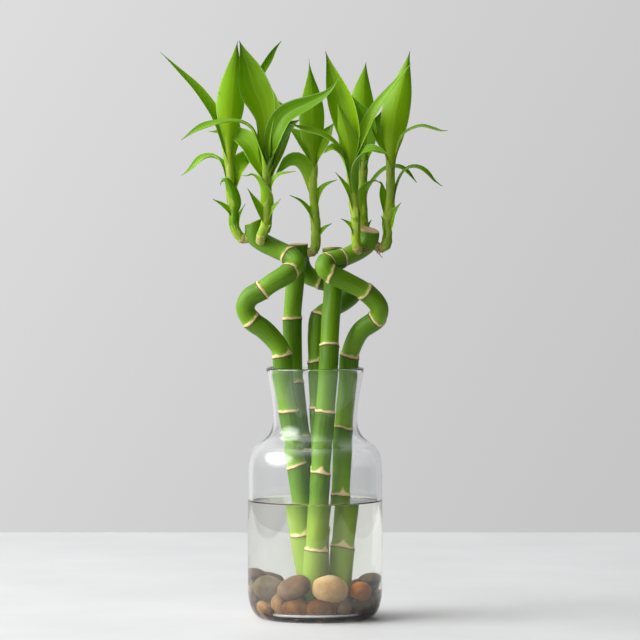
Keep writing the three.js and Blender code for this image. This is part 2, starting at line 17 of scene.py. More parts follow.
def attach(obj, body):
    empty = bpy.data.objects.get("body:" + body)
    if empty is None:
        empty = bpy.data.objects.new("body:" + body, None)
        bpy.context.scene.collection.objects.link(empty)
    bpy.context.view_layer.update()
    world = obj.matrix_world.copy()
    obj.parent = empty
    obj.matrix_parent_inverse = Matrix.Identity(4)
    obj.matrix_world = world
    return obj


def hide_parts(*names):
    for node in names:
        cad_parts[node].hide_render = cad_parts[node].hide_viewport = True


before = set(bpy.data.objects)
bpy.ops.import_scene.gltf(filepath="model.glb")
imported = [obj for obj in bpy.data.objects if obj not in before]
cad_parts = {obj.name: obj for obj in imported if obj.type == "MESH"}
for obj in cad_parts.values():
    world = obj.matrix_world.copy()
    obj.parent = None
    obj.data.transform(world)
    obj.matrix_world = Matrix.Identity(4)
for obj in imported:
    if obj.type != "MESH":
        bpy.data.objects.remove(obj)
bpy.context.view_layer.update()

# %% [markdown]
# ## The camera and the light
# Sizes are written in millimetres, as on a drawing, and one factor turns them into metres.
# The eye is 2.6 m in front of the vase and 285 mm above the table, and looks down by two degrees,
# so the lens is long. A long lens keeps the vase's sides almost parallel.

# %% Millimetres and the camera
MM = 0.001
EYE = Vector((3.33, -2587, 285)) * MM
AIM = Vector((3.33, 0, 199.5)) * MM
LENS = 218.3


def add_object(name, data):
    item = bpy.data.objects.new(name, data)
    bpy.context.scene.collection.objects.link(item)
    return item


def aim_from(item, place):
    item.location = place
    item.rotation_euler = (AIM - place).to_track_quat("-Z", "Y").to_euler()


def make_camera():
    lens = bpy.data.cameras.new("long_lens")
    lens.lens = LENS
    lens.sensor_width = 36
    lens.clip_end = 20
    camera = add_object("camera", lens)
    aim_from(camera, EYE)
    bpy.context.scene.camera = camera


make_camera()
bpy.context.scene.view_settings.view_transform = "Standard"
print("camera at", tuple(EYE), "looking at", tuple(AIM))

# %% [markdown]
# ## Colours and nodes
# Colours are given as sRGB hex values, the way a paint chart names them. Cycles works in linear
# light, so one function turns them over. Another empties the node tree of a world, a lamp or a
# material. The third adds a shader node with its settings and links, which keeps each material
# below a short list. A MapRange node lists its value, the two ends that go in, and the two that
# come out.

# %% Three small helpers
def colour(hex_value):
    channels = [int(hex_value[i : i + 2], 16) / 255 for i in (1, 3, 5)]
    linear = [c / 12.92 if c <= 0.04045 else ((c + 0.055) / 1.055) ** 2.4 for c in channels]
    return (*linear, 1)


def empty_tree(owner):
    owner.use_nodes = True
    owner.node_tree.nodes.clear()
    return owner.node_tree


def add_node(tree, kind, inputs=(), stops=(), **settings):
    """Adds a shader node. Inputs are named, or listed in the node's own order. An input is a value,
    a socket, or another node, which stands for its first output in use."""
    node = tree.nodes.new("ShaderNode" + kind)
    for name, value in settings.items():
        setattr(node, name, value)
    for name, value in inputs.items() if isinstance(inputs, dict) else enumerate(inputs):
        if isinstance(value, bpy.types.Node):
            value = next(socket for socket in value.outputs if socket.enabled)
        if isinstance(value, bpy.types.NodeSocket):
            tree.links.new(value, node.inputs[name])
        else:
            node.inputs[name].default_value = value
    for i, (place, stop) in enumerate(stops):
        element = node.color_ramp.elements[i] if i < 2 else node.color_ramp.elements.new(place)
        element.position = place
        element.color = colour(stop)
    return node


print("leaf green is", colour("#7FB52A"))

# %% [markdown]
# The room is a pale wall, a little brighter on the left, where the window is. That is what the eye
# sees, straight or through glass. What lights the plant differs more: bright on the left, dim on
# the right, so that the round canes shade from light to dark. What polished things mirror is the
# dim room behind the viewer, under a lighter ceiling. Three ramps over the direction left-right do
# this with no visible lamp, and the kind of ray picks one. Far to both sides the wall ends in the
# dark. Only rays that glass bends sharply get there, so the glass is drawn with thin dark edges.

# %% The room's light
WINDOW_SIDE = (-0.86, 0.0, 0.5)
WALL_RAMP = [(0.3, "#C4C4C5"), (0.7, "#E8E8E8"), (0.45, "#C6C6C7"), (0.5, "#D1D1D2"), (0.55, "#DEDEDE")]
LIGHT_RAMP = [(0.0, "#16181A"), (1.0, "#FFFFFF"), (0.3, "#1C1E21"), (0.5, "#3A3C3F"), (0.75, "#B2B4B6")]
GLOSS_RAMP = [(0.0, "#6A6C6E"), (1.0, "#FFFFFF"), (0.35, "#3E3F41"), (0.55, "#46484A"), (0.8, "#DCDCDC")]
LIGHT_STRENGTH = 1.7
DARK_SIDES = (0.62, 0.9)
SIDE_STRENGTH = 0.2
OVERHEAD = (0.6, 0.9)
CEILING_STRENGTH = 5.0
WALL_AHEAD = (-0.1, 0.5)


def make_room():
    world = bpy.data.worlds.new("pale_room")
    bpy.context.scene.world = world
    tree = empty_tree(world)
    place = add_node(tree, "TexCoord").outputs["Generated"]
    toward = add_node(tree, "VectorMath", [place, WINDOW_SIDE], operation="DOT_PRODUCT")
    share = add_node(tree, "MapRange", [toward, -1.0, 1.0])
    ramps = (LIGHT_RAMP, WALL_RAMP, GLOSS_RAMP)
    light, wall, sheen = [add_node(tree, "ValToRGB", [share], ramp) for ramp in ramps]
    direction = add_node(tree, "SeparateXYZ", [place]).outputs
    sideways = add_node(tree, "Math", [direction["X"]], operation="ABSOLUTE")
    darker = add_node(tree, "MapRange", [sideways, *DARK_SIDES, 1.0, SIDE_STRENGTH])
    overhead = add_node(tree, "MapRange", [direction["Z"], *OVERHEAD, 1.0, CEILING_STRENGTH])
    ahead = add_node(tree, "MapRange", [direction["Y"], *WALL_AHEAD])
    lit = add_node(tree, "Background", [light, LIGHT_STRENGTH])
    plain = add_node(tree, "Background", [wall, darker])
    dim = add_node(tree, "Background", [sheen, overhead])
    mirrored = add_node(tree, "MixShader", [ahead, dim, plain])
    ray = add_node(tree, "LightPath").outputs
    lights = add_node(tree, "MixShader", [ray["Is Glossy Ray"], lit, mirrored])
    kinds = [ray["Is Camera Ray"], ray["Is Transmission Ray"]]
    seen = add_node(tree, "Math", kinds, operation="MAXIMUM")
    both = add_node(tree, "MixShader", [seen, lights, plain])
    add_node(tree, "OutputWorld", [both])


make_room()
print("the wall's middle grey is", colour(WALL_RAMP[3][1])[:3])

# %% [markdown]
# One soft window stands high on the left and a little in front. It is what the glass mirrors as a
# white patch on its shoulder, and it throws the faint shadow to the right. It is a wide lamp
# that fades towards its rim, as a diffusing screen does, so that its mirror image has no hard edge.

# %% The window
WINDOW_WIDE = 2900 * MM
WINDOW_HIGH = 1900 * MM
WINDOW_POWER = 145
WINDOW_PLACE = Vector((-1800, -450, 1150)) * MM


def fade_to_rim(lamp):
    tree = empty_tree(lamp)
    place = add_node(tree, "NewGeometry").outputs["Parametric"]
    flat = add_node(tree, "VectorMath", [place, (1.0, 1.0, 0.0)], operation="MULTIPLY")
    off_middle = add_node(tree, "VectorMath", [flat, (0.5, 0.5, 0.0)], operation="DISTANCE")
    fade = add_node(tree, "MapRange", [off_middle, 0.5, 0.2], interpolation_type="SMOOTHSTEP")
    glow = add_node(tree, "Emission", {"Strength": fade})
    add_node(tree, "OutputLight", [glow])


def make_window():
    lamp = bpy.data.lights.new("window", "AREA")
    lamp.shape = "RECTANGLE"
    lamp.size = WINDOW_WIDE
    lamp.size_y = WINDOW_HIGH
    lamp.energy = WINDOW_POWER
    fade_to_rim(lamp)
    aim_from(add_object("window", lamp), WINDOW_PLACE)


make_window()
print("window", round((AIM - WINDOW_PLACE).length, 2), "m away")

# %% [markdown]
# ## From a bmesh to a piece
# Every piece is a bmesh that becomes an object at the origin, unturned, with its place in its
# mesh. It rides on the part's one body, hides the one solid it stands for, and gets its material.
# Faces are shaded smooth, but an edge where they meet at more than 40 degrees stays crisp.

# %% Finishing a piece
SHARP = math.radians(40)


def mesh_object(bm, name, material):
    mesh = bpy.data.meshes.new(name)
    bm.to_mesh(mesh)
    bm.free()
    mesh.materials.append(material)
    return add_object(name, mesh)


def finish_piece(bm, name, material, node):
    bmesh.ops.recalc_face_normals(bm, faces=bm.faces)
    for face in bm.faces:
        face.smooth = True
    for edge in bm.edges:
        edge.smooth = edge.calc_face_angle(0.0) < SHARP
    piece = mesh_object(bm, name, material)
    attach(piece, "root")
    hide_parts(node)
    print(name, len(piece.data.polygons), "faces")


def new_material(name):
    material = bpy.data.materials.new(name)
    return material, empty_tree(material)


# %% [markdown]
# ## The table
# The part stands on a plain pale top. It is only a backdrop, so it is one flat sheet with a quiet finish.

# %% The pale top
TOP_HALF = 655 * MM


def painted_top():
    """Matt white painted wood: even and pale, with hardly any shine."""
    material, tree = new_material("matt_white_paint")
    place = add_node(tree, "TexCoord").outputs["Object"]
    cloud = add_node(tree, "TexNoise", {"Vector": place, "Scale": 9.0, "Detail": 4.0})
    tone = add_node(tree, "ValToRGB", [cloud], [(0.3, "#CDCDCD"), (0.7, "#D5D5D5")])
    paint = add_node(tree, "BsdfPrincipled", {"Base Color": tone, "Roughness": 0.6})
    add_node(tree, "OutputMaterial", [paint])
    return material


def make_top():
    bm = bmesh.new()
    bmesh.ops.create_grid(bm, x_segments=2, y_segments=2, size=TOP_HALF)
    top = mesh_object(bm, "pale_top", painted_top())


make_top()
print("pale top", 2 * TOP_HALF, "m across")

# %% [markdown]
# ## The vase
# A blown or pressed vase is round, so its wall is one outline turned about the upright axis. The
# outline is drawn with straight runs and Bezier curves, out and up on the outside, over the lip,
# and down on the inside. A full spin with its ends merged closes it.

# %% Outline helpers
def at(radius, height):
    return Vector((radius, 0, height)) * MM


def curve(start, one, two, end, steps=14):
    """The points of a Bezier curve after its first one."""
    points = geometry.interpolate_bezier(at(*start), at(*one), at(*two), at(*end), steps + 1)
    return points[1:]


def corner(start, through, end, steps=14):
    """A round corner pulled towards one point: a quadratic curve written as a cubic one."""
    one = [s + (t - s) * 2 / 3 for s, t in zip(start, through)]
    two = [e + (t - e) * 2 / 3 for e, t in zip(end, through)]
    return curve(start, one, two, end, steps)


def straight(start, end, steps=12):
    """The points of a straight run after its first one, close enough for even shading."""
    return curve(start, start, end, end, steps)


def spin_outline(points, sides):
    bm = bmesh.new()
    corners = [bm.verts.new(point) for point in points]
    edges = [bm.edges.new(pair) for pair in zip(corners, corners[1:])]
    bmesh.ops.spin(
        bm,
        geom=corners + edges,
        cent=(0, 0, 0),
        axis=(0, 0, 1),
        angle=2 * math.pi,
        steps=sides,
        use_merge=True,
    )
    bmesh.ops.remove_doubles(bm, verts=bm.verts, dist=0.005 * MM)
    return bm


print("a corner of the heel:", corner((33, 0), (45, 0), (45, 22), 2))

# %% [markdown]
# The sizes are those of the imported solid: a straight body, a round heel, a soft shoulder, and a
# neck that flares to a rounded lip. The underside is hollowed by less than a millimetre, as the
# foot of a real vase is, so it stands on a ring and the base shows a bright line.

# %% The vase's shape
HEIGHT = 168
FOOT = 33
BODY = 45
WALL_THICK = 3
BASE_THICK = 5
HEEL_TOP = 22
BODY_TOP = 93
NECK = 28.1
NECK_WALL = 2.2
NECK_HEIGHT = 132
LIP = 32.6
LIP_ROUND = 1.4
KICK_UP = 0.8
VASE_SIDES = 96


def make_vase_outline():
    lip_foot = HEIGHT - LIP_ROUND
    inside = BODY - WALL_THICK
    inner_neck = NECK - NECK_WALL
    points = [at(0, KICK_UP), *straight((0, KICK_UP), (FOOT - 9, KICK_UP))]
    points += corner((FOOT - 9, KICK_UP), (FOOT - 6, 0), (FOOT - 3, 0.05), 6)
    points += corner((FOOT - 3, 0.05), (FOOT - 1, 0), (FOOT, 0.05), 4)
    points += corner((FOOT, 0.05), (BODY, 0), (BODY, HEEL_TOP))
    points += straight((BODY, HEEL_TOP), (BODY, BODY_TOP))
    points += curve((BODY, BODY_TOP), (BODY, 106), (44, 113.5), (38, 117))
    points += curve((38, 117), (32, 120.5), (28.6, 124.5), (NECK, NECK_HEIGHT))
    points += curve((NECK, NECK_HEIGHT), (NECK, 142), (30.2, 152), (LIP, lip_foot))
    for step in range(1, 9):
        turn = math.pi * step / 8
        across = LIP_ROUND * math.cos(turn)
        points.append(at(LIP - LIP_ROUND + across, lip_foot + LIP_ROUND * math.sin(turn)))
    points += curve((LIP - 2 * LIP_ROUND, lip_foot), (28, 152), (inner_neck, 142), (inner_neck, NECK_HEIGHT))
    points += curve((inner_neck, NECK_HEIGHT), (26.4, 123), (29.5, 118), (35.5, 114.5))
    points += curve((35.5, 114.5), (41, 111.5), (inside, 105), (inside, BODY_TOP))
    heel = HEEL_TOP - WALL_THICK
    points += straight((inside, BODY_TOP), (inside, heel))
    points += corner((inside, heel), (inside, BASE_THICK), (FOOT - 2, BASE_THICK))
    points += straight((FOOT - 2, BASE_THICK), (0, BASE_THICK))
    return points


vase_outline = make_vase_outline()
print("the vase's outline has", len(vase_outline), "points")

# %% [markdown]
# Soda-lime glass is clear with a breath of green where it is thick. Its polish comes from fire, so
# it has no roughness. Light bends in it by an index of 1.52. Real glass gathers the lamp's light in
# bright streaks that take very long to compute, so rays towards the lamp pass straight through.

# %% The glass
def clear_solid(name, tint, index):
    """A clear polished solid. It bends and mirrors what is seen, and lets the lamp's light through."""
    material, tree = new_material(name)
    finish = {"Base Color": colour(tint), "Roughness": 0.0, "IOR": index, "Transmission Weight": 1.0}
    body = add_node(tree, "BsdfPrincipled", finish)
    through = add_node(tree, "BsdfTransparent", [colour(tint)])
    ray = add_node(tree, "LightPath").outputs
    both = add_node(tree, "MixShader", [ray["Is Shadow Ray"], body, through])
    add_node(tree, "OutputMaterial", [both])
    return material


glass = clear_solid("soda_lime_glass", "#FDFEFE", 1.52)
finish_piece(spin_outline(vase_outline, VASE_SIDES), "glass_vase", glass, "vase")

# %% [markdown]
# ## The water
# Still water fills almost half the vase's height. At the wall it climbs a millimetre, which draws
# the thin dark line that the eye reads as the waterline. At the wall its skin lies a hair inside the
# glass, so no film of air is left between them. On the floor a thin film is left. It mirrors the
# light that runs along the thick base, which keeps the base bright. Water bends light by 1.33.

# %% The water's shape and finish
WATER_LEVEL = 78.5
CLIMB = 1.2
INTO_GLASS = 0.3
FLOOR_FILM = 0.15


def make_water_outline():
    wall = BODY - WALL_THICK + INTO_GLASS
    floor = BASE_THICK + FLOOR_FILM
    heel = HEEL_TOP - WALL_THICK
    points = [at(0, WATER_LEVEL), *straight((0, WATER_LEVEL), (wall - 3, WATER_LEVEL))]
    points += corner((wall - 3, WATER_LEVEL), (wall - 0.4, WATER_LEVEL), (wall, WATER_LEVEL + CLIMB), 8)
    points += straight((wall, WATER_LEVEL + CLIMB), (wall, heel))
    points += corner((wall, heel), (wall, floor), (FOOT - 2, floor))
    points += straight((FOOT - 2, floor), (0, floor))
    return points


water = clear_solid("clear_tap_water", "#FCFBF5", 1.33)
finish_piece(spin_outline(make_water_outline(), VASE_SIDES), "still_water", water, "water")

# %% [markdown]
# ## Middle lines
# Canes, stems and leaves all grow along a line. The line runs smoothly through a few points, close
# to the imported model's, as a centripetal Catmull-Rom curve: it never overshoots where points stand
# close together. Each stretch of it is one Bezier curve with worked-out handles. Under water two
# canes stand about 9 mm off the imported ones, because water and glass shift what the eye sees there.

# %% A smooth line and its frames
FINE = 40


def smooth_points(route):
    """Fine points through the route, and the place in them of each of the route's own points."""
    own = [Vector(point) * MM for point in route]
    whole = [2 * own[0] - own[1], *own, 2 * own[-1] - own[-2]]
    fine = []
    marks = []
    for before, start, end, after in zip(whole, whole[1:], whole[2:], whole[3:]):
        a = math.sqrt((start - before).length)
        b = math.sqrt((end - start).length)
        c = math.sqrt((after - end).length)
        leave = ((start - before) / a - (end - before) / (a + b) + (end - start) / b) * b
        arrive = ((end - start) / b - (after - start) / (b + c) + (after - end) / c) * b
        marks.append(len(fine))
        fine += geometry.interpolate_bezier(start, start + leave / 3, end - arrive / 3, end, FINE + 1)[:-1]
    marks.append(len(fine))
    fine.append(own[-1])
    return fine, marks


class MiddleLine:
    """A smooth line that gives its place, direction and two side directions at any distance."""

    def __init__(self, route):
        fine, marks = smooth_points(route)
        steps = [0.0] + [(b - a).length for a, b in zip(fine, fine[1:])]
        self.distance = np.cumsum(steps)
        self.length = float(self.distance[-1])
        self.marks = [float(self.distance[i]) for i in marks]
        ahead = [(b - a).normalized() for a, b in zip(fine, fine[1:])]
        tangents = [ahead[0]] + [(a + b).normalized() for a, b in zip(ahead, ahead[1:])] + [ahead[-1]]
        side = Vector((1, 0, 0))
        side = (side - tangents[0] * side.dot(tangents[0])).normalized()
        sides = []
        for last, tangent in zip([tangents[0]] + tangents, tangents):
            side = last.rotation_difference(tangent) @ side
            side = (side - tangent * side.dot(tangent)).normalized()
            sides.append(side.copy())
        self.tables = [np.array(rows) for rows in (fine, tangents, sides)]

    def read(self, distance):
        """Point, direction, side and depth at a distance along the line."""
        point, tangent, side = [
            Vector([np.interp(distance, self.distance, column) for column in table.T])
            for table in self.tables
        ]
        tangent.normalize()
        side = (side - tangent * side.dot(tangent)).normalized()
        return point, tangent, side, tangent.cross(side)


def smoothstep(low, high, value):
    share = min(max((value - low) / (high - low), 0.0), 1.0)
    return share * share * (3 - 2 * share)


print("a smooth line:", MiddleLine([(0, 0, 0), (0, 0, 10), (10, 0, 20)]).length, "m")

# %% [markdown]
# ## The canes
# A cane is a dracaena stem. Every few centimetres an old leaf left a scar: a raised cream ring
# with a brown lower edge, here and there drawn up into a small point. Between two scars the stem
# swells a little upwards. Curled canes got their bends by being laid on their side in turns.
#
# Tables give each cane's thickness, its middle line, which of those points are scars, where a scar
# is drawn up to a point (the compass angle, 0 to the right and -90 to the front), and how the top
# was cut: how far it drops, and towards which angle. Leans tilt a scar: how many millimetres up,
# and towards which angle. A tone above 0 makes the cane's green deeper, below 0 lighter.

# %% The canes' tables
CANES = {
    "left_curl": {
        "radius": 6.4,
        "scars": [1, 2, 3, 5, 9, 12, 14, 16],
        "points": {1: -70, 5: -35},
        "leans": {2: (1.6, 10), 14: (3.4, -90), 9: (-1.5, -90)},
        "cut": (6.4, 180),
        "route": [
            (1, -2, 6.1), (-6, -4, 57.5), (-12.3, -5.8, 103), (-17.2, -7.2, 139), (-21, -7.5, 163),
            (-21.8, -8, 175.5), (-23.5, -8.5, 181.5), (-28.4, -9.5, 188), (-34.5, -11, 194),
            (-42.5, -12, 200), (-46.3, -13, 207.6), (-43.5, -14, 214.6), (-35.5, -15, 219.6),
            (-28.5, -15.5, 224.6), (-18, -14.5, 231), (-12.5, -9.5, 237.4), (-17, -4, 242.6),
            (-26, -0.5, 247), (-35, 1, 251.5), (-39.6, 1, 255.5), (-40.2, 1, 260.5), (-39.6, 1, 268.8),
        ],
    },
    "back_straight": {
        "radius": 6.2,
        "scars": [2, 3, 4, 6],
        "points": {4: 30},
        "leans": {},
        "cut": (1.5, 200),
        "route": [
            (1.5, 24.2, 6.1), (-3.2, 23.2, 42), (-6.2, 21.5, 78), (-9.4, 14.5, 118), (-13.9, 11.7, 158),
            (-14.9, 11, 180), (-15.2, 10, 200), (-13.3, 9, 225), (-11, 8, 250.8),
        ],
    },
    "front_straight": {
        "radius": 6.35,
        "scars": [1, 2, 3, 5],
        "points": {1: -35, 2: -85, 3: 0},
        "leans": {1: (-0.6, 0), 2: (-0.8, 0)},
        "cut": (0.4, -90),
        "tone": 0.2,
        "route": [
            (-2, -17, 6.1), (0.7, -17.2, 47.5), (3.7, -17.4, 98.5), (6.5, -17.3, 139), (8.8, -15.7, 168),
            (9.5, -13.5, 182.4), (10.5, -9.5, 201), (12, -4, 217.5), (12, 1.5, 233), (11.5, 4.3, 247.5),
        ],
    },
    "right_curl": {
        "radius": 6.25,
        "scars": [1, 2, 3, 5, 8, 10, 12, 14, 16],
        "points": {1: -80, 2: -80, 5: -30},
        "leans": {1: (-1.0, 0), 3: (-1.4, 0), 5: (-0.5, 0), 8: (-2.4, -90), 12: (2.6, -20)},
        "cut": (4.2, -60),
        "tone": -0.1,
        "route": [
            (12.2, -9.5, 6.1), (14.6, -6, 49), (17, -3.7, 83), (18.9, -1.4, 126.5), (22.3, 0.5, 162),
            (23, 0.5, 175), (25.8, -0.5, 184), (30.6, -2.5, 192.6), (41.4, -5, 201), (42.5, -8.5, 208.5),
            (33.5, -12.5, 218.6), (22, -17, 225), (11, -20.5, 230.5), (6.3, -21.5, 234.5), (8, -17, 238.6),
            (13.5, -13, 240), (17.2, -10.4, 240.6), (31, -2, 247.2), (35.7, -1.3, 252.4), (36.5, -1, 262),
        ],
    },
    "back_curl": {
        "radius": 6.2,
        "scars": [1, 2, 3, 4, 6, 9, 12],
        "points": {4: -60},
        "leans": {4: (1.2, 0), 9: (4.0, 90)},
        "cut": (0.8, 0),
        "route": [
            (0.6, 11, 6.1), (0.4, 10.8, 60), (3.4, 10.8, 100), (2.6, 11, 140), (1.5, 11, 171.5),
            (1.5, 12, 190), (3.5, 13, 201.5), (12.5, 15, 207.5), (20, 16.5, 212), (25, 20.5, 217),
            (23, 25, 220.5), (15.5, 27, 222.5), (3.7, 27, 225.5), (-5, 26.5, 229), (-9.5, 25.5, 236),
            (-10.5, 24.5, 246),
        ],
    },
}
print(len(CANES), "canes")

# %% [markdown]
# A tube is grown ring by ring: a circle's edges are extruded as often as the cane needs rings,
# which lie close together near the scars. The rings are then laid along the middle line.

# %% Growing a tube
CUT_RIM = 0.3 * MM
CUT_DISH = 0.42 * MM


def grow_rings(bm, count, sides):
    """A tube of so many rings of corners, each in the order of its angle round the tube."""
    start = bmesh.ops.create_circle(bm, cap_ends=False, segments=sides, radius=1)["verts"]
    rings = [sorted(start, key=lambda v: math.atan2(v.co.y, v.co.x))]
    edges = list({edge for vert in start for edge in vert.link_edges})
    while len(rings) < count:
        grown = bmesh.ops.extrude_edge_only(bm, edges=edges)["geom"]
        corners = [g for g in grown if isinstance(g, bmesh.types.BMVert)]
        edges = [g for g in grown if isinstance(g, bmesh.types.BMEdge) and g.is_boundary]
        rings.append(sorted(corners, key=lambda v: math.atan2(v.co.y, v.co.x)))
    return rings


def open_edges(ring):
    return list({edge for vert in ring for edge in vert.link_edges if edge.is_boundary})


def close_end(bm, ring, inward):
    """Fills a tube's end, dishes the fill a little, and gives back its centre."""
    cap = bmesh.ops.edgeloop_fill(bm, edges=open_edges(ring))["faces"]
    bmesh.ops.inset_individual(bm, faces=cap, thickness=CUT_RIM, use_even_offset=True)
    centre = bmesh.ops.poke(bm, faces=cap)["verts"]
    for vert in centre:
        vert.co += inward * CUT_DISH
    return centre


print("rings:", len(grow_rings(bmesh.new(), 5, 12)))

# %% [markdown]
# The scar's relief and its colour come from the same numbers: how far a corner lies above the
# scar's lower edge, and how high the scar is at that angle. The colours' shares are kept on the
# corners as attributes, and the material reads them, so colour and shape always agree. On the
# outside of a bend the skin is longer than the middle line, so heights there are stretched.

# %% A scar at one corner of the mesh
SCAR_HEIGHT = 1.6 * MM
SCAR_SOFT = 0.28 * MM
SCAR_RISE = 0.7 * MM
RIDGE_HALF = 1.2 * MM
RUST_HALF = 0.35 * MM
WOBBLE = 0.6 * MM
SHARP_WOBBLE = 0.3 * MM
POINT_HEIGHT = 3.2 * MM
POINT_HALF = math.radians(30)


def turned_apart(one, other):
    """The angle between two compass angles."""
    return abs((one - other + math.pi) % (2 * math.pi) - math.pi)


def scar_at(cane, index, place, distance, out, stretch, seed):
    """Shares of cream and rust, and the rise, that one scar gives at a distance, on one side."""
    lean, lean_angle = cane["leans"].get(index, (0.5, 57.0 * index))
    toward = Vector((math.cos(math.radians(lean_angle)), math.sin(math.radians(lean_angle)), 0))
    around = out + Vector((0, 0, index + seed))
    wobble = noise.noise(around * 1.6) * WOBBLE + noise.noise(around * 5) * SHARP_WOBBLE
    lower = place + lean * MM * out.dot(toward) + wobble
    height = SCAR_HEIGHT * (1 + 0.7 * noise.noise(around * 2.3 + Vector((0, 0, 7))))
    if index in cane["points"]:
        apart = turned_apart(math.atan2(out.y, out.x), math.radians(cane["points"][index]))
        height += POINT_HEIGHT * max(0.0, 1 - apart / POINT_HALF) ** 1.2
    above = (distance - lower) * stretch
    cream = smoothstep(-SCAR_SOFT, SCAR_SOFT, above)
    cream *= 1 - smoothstep(height - SCAR_SOFT, height + SCAR_SOFT, above)
    rust = math.exp(-(((above + RUST_HALF) / RUST_HALF) ** 2))
    ridge = math.exp(-(((above - SCAR_HEIGHT / 2) / RIDGE_HALF) ** 2))
    rise = SCAR_RISE * max(ridge, 0.45 * cream)
    return cream, rust, rise, lower


print("a scar's ring is", SCAR_HEIGHT / MM, "mm high")

# %% [markdown]
# Living cane is waxy and green: dark just under a scar, where the old leaf shaded it, and lighter
# towards the next one. Fine fibres run along it. Under water it has bleached to lime. A cut end
# dries to tan.

# %% The cane's finish
FIBRE_WIDTH = 0.5 * MM
CLOUD_WIDTH = 14 * MM
DRY_ABOVE = (WATER_LEVEL + 6) * MM
BLEACHED_BELOW = (WATER_LEVEL - 12) * MM
CANE_GREENS = [(0.0, "#90BA24"), (1.0, "#224402"), (0.2, "#6E980E"), (0.6, "#507C04"), (0.93, "#305A02")]


def waxy_cane():
    """Green dracaena stem with a thin wax bloom: a soft broad highlight and fine long fibres."""
    material, tree = new_material("waxy_green_cane")
    along = add_node(tree, "Attribute", attribute_name="cane").outputs["Vector"]
    marks = add_node(tree, "Attribute", attribute_name="marks").outputs["Vector"]
    gap = add_node(tree, "Attribute", attribute_name="gap").outputs["Fac"]
    mark = add_node(tree, "SeparateXYZ", [marks]).outputs
    stretch = add_node(tree, "VectorMath", [along, (1.0, 1.0, 0.06)], operation="MULTIPLY")
    fibre = add_node(tree, "TexNoise", {"Vector": stretch, "Scale": 1 / (2 * FIBRE_WIDTH), "Detail": 3.0})
    cloud = add_node(tree, "TexNoise", {"Vector": along, "Scale": 1 / CLOUD_WIDTH, "Detail": 3.0})
    streak = add_node(tree, "MapRange", [fibre, 0.35, 0.75, 0.0, 0.3])
    place = add_node(tree, "TexCoord").outputs["Object"]
    height = add_node(tree, "SeparateXYZ", [place]).outputs["Z"]
    drowned = add_node(tree, "MapRange", [height, DRY_ABOVE, BLEACHED_BELOW, 0.0, 0.8])
    skin = add_node(tree, "ValToRGB", [gap], CANE_GREENS)
    for share, hex_value in (
        (cloud, "#528004"),
        (streak, "#8CB41C"),
        (drowned, "#92AE3C"),
        (mark["X"], "#E4CC96"),
        (mark["Y"], "#5E4420"),
        (mark["Z"], "#C9A574"),
    ):
        skin = add_node(tree, "Mix", {0: share, 6: skin, 7: colour(hex_value)}, data_type="RGBA")
    bump = add_node(tree, "Bump", {"Strength": 0.25, "Distance": 0.15 * MM, "Height": fibre})
    wax = add_node(tree, "MapRange", [cloud, 0.0, 1.0, 0.42, 0.58])
    finish = {"Base Color": skin, "Roughness": wax, "IOR": 1.36, "Normal": bump}
    stem = add_node(tree, "BsdfPrincipled", finish)
    add_node(tree, "OutputMaterial", [stem])
    return material


cane_finish = waxy_cane()
print(cane_finish.name, "has", len(cane_finish.node_tree.nodes), "nodes")

# %% [markdown]
# Rings stand 1.6 mm apart on a plain stretch and 0.35 mm apart near a scar. A cane swells by a
# quarter of a millimetre below each scar and narrows by as much above it.

# %% Making a cane
CANE_SIDES = 40
PLAIN_STEP = 1.6 * MM
SCAR_STEP = 0.35 * MM
SCAR_REACH = 4.2 * MM
SWELL = 0.26 * MM
DENTS = 0.12 * MM
DENT_WIDTH = 20 * MM
CUT_ZONE = 8 * MM
BELOW_FOOT = 12 * MM
# ABOVE_CUT is short, so a cane's last stretch darkens right up to its cut: partly the stub's drying, partly
# painted shade from the leaves above it.
ABOVE_CUT = 3 * MM


def ring_places(line, scars):
    places = [0.0]
    while places[-1] < line.length - SCAR_STEP:
        near = any(abs(places[-1] + SCAR_STEP - scar) < SCAR_REACH for scar in scars)
        places.append(places[-1] + (SCAR_STEP if near else PLAIN_STEP))
    places[-1] = line.length
    return places


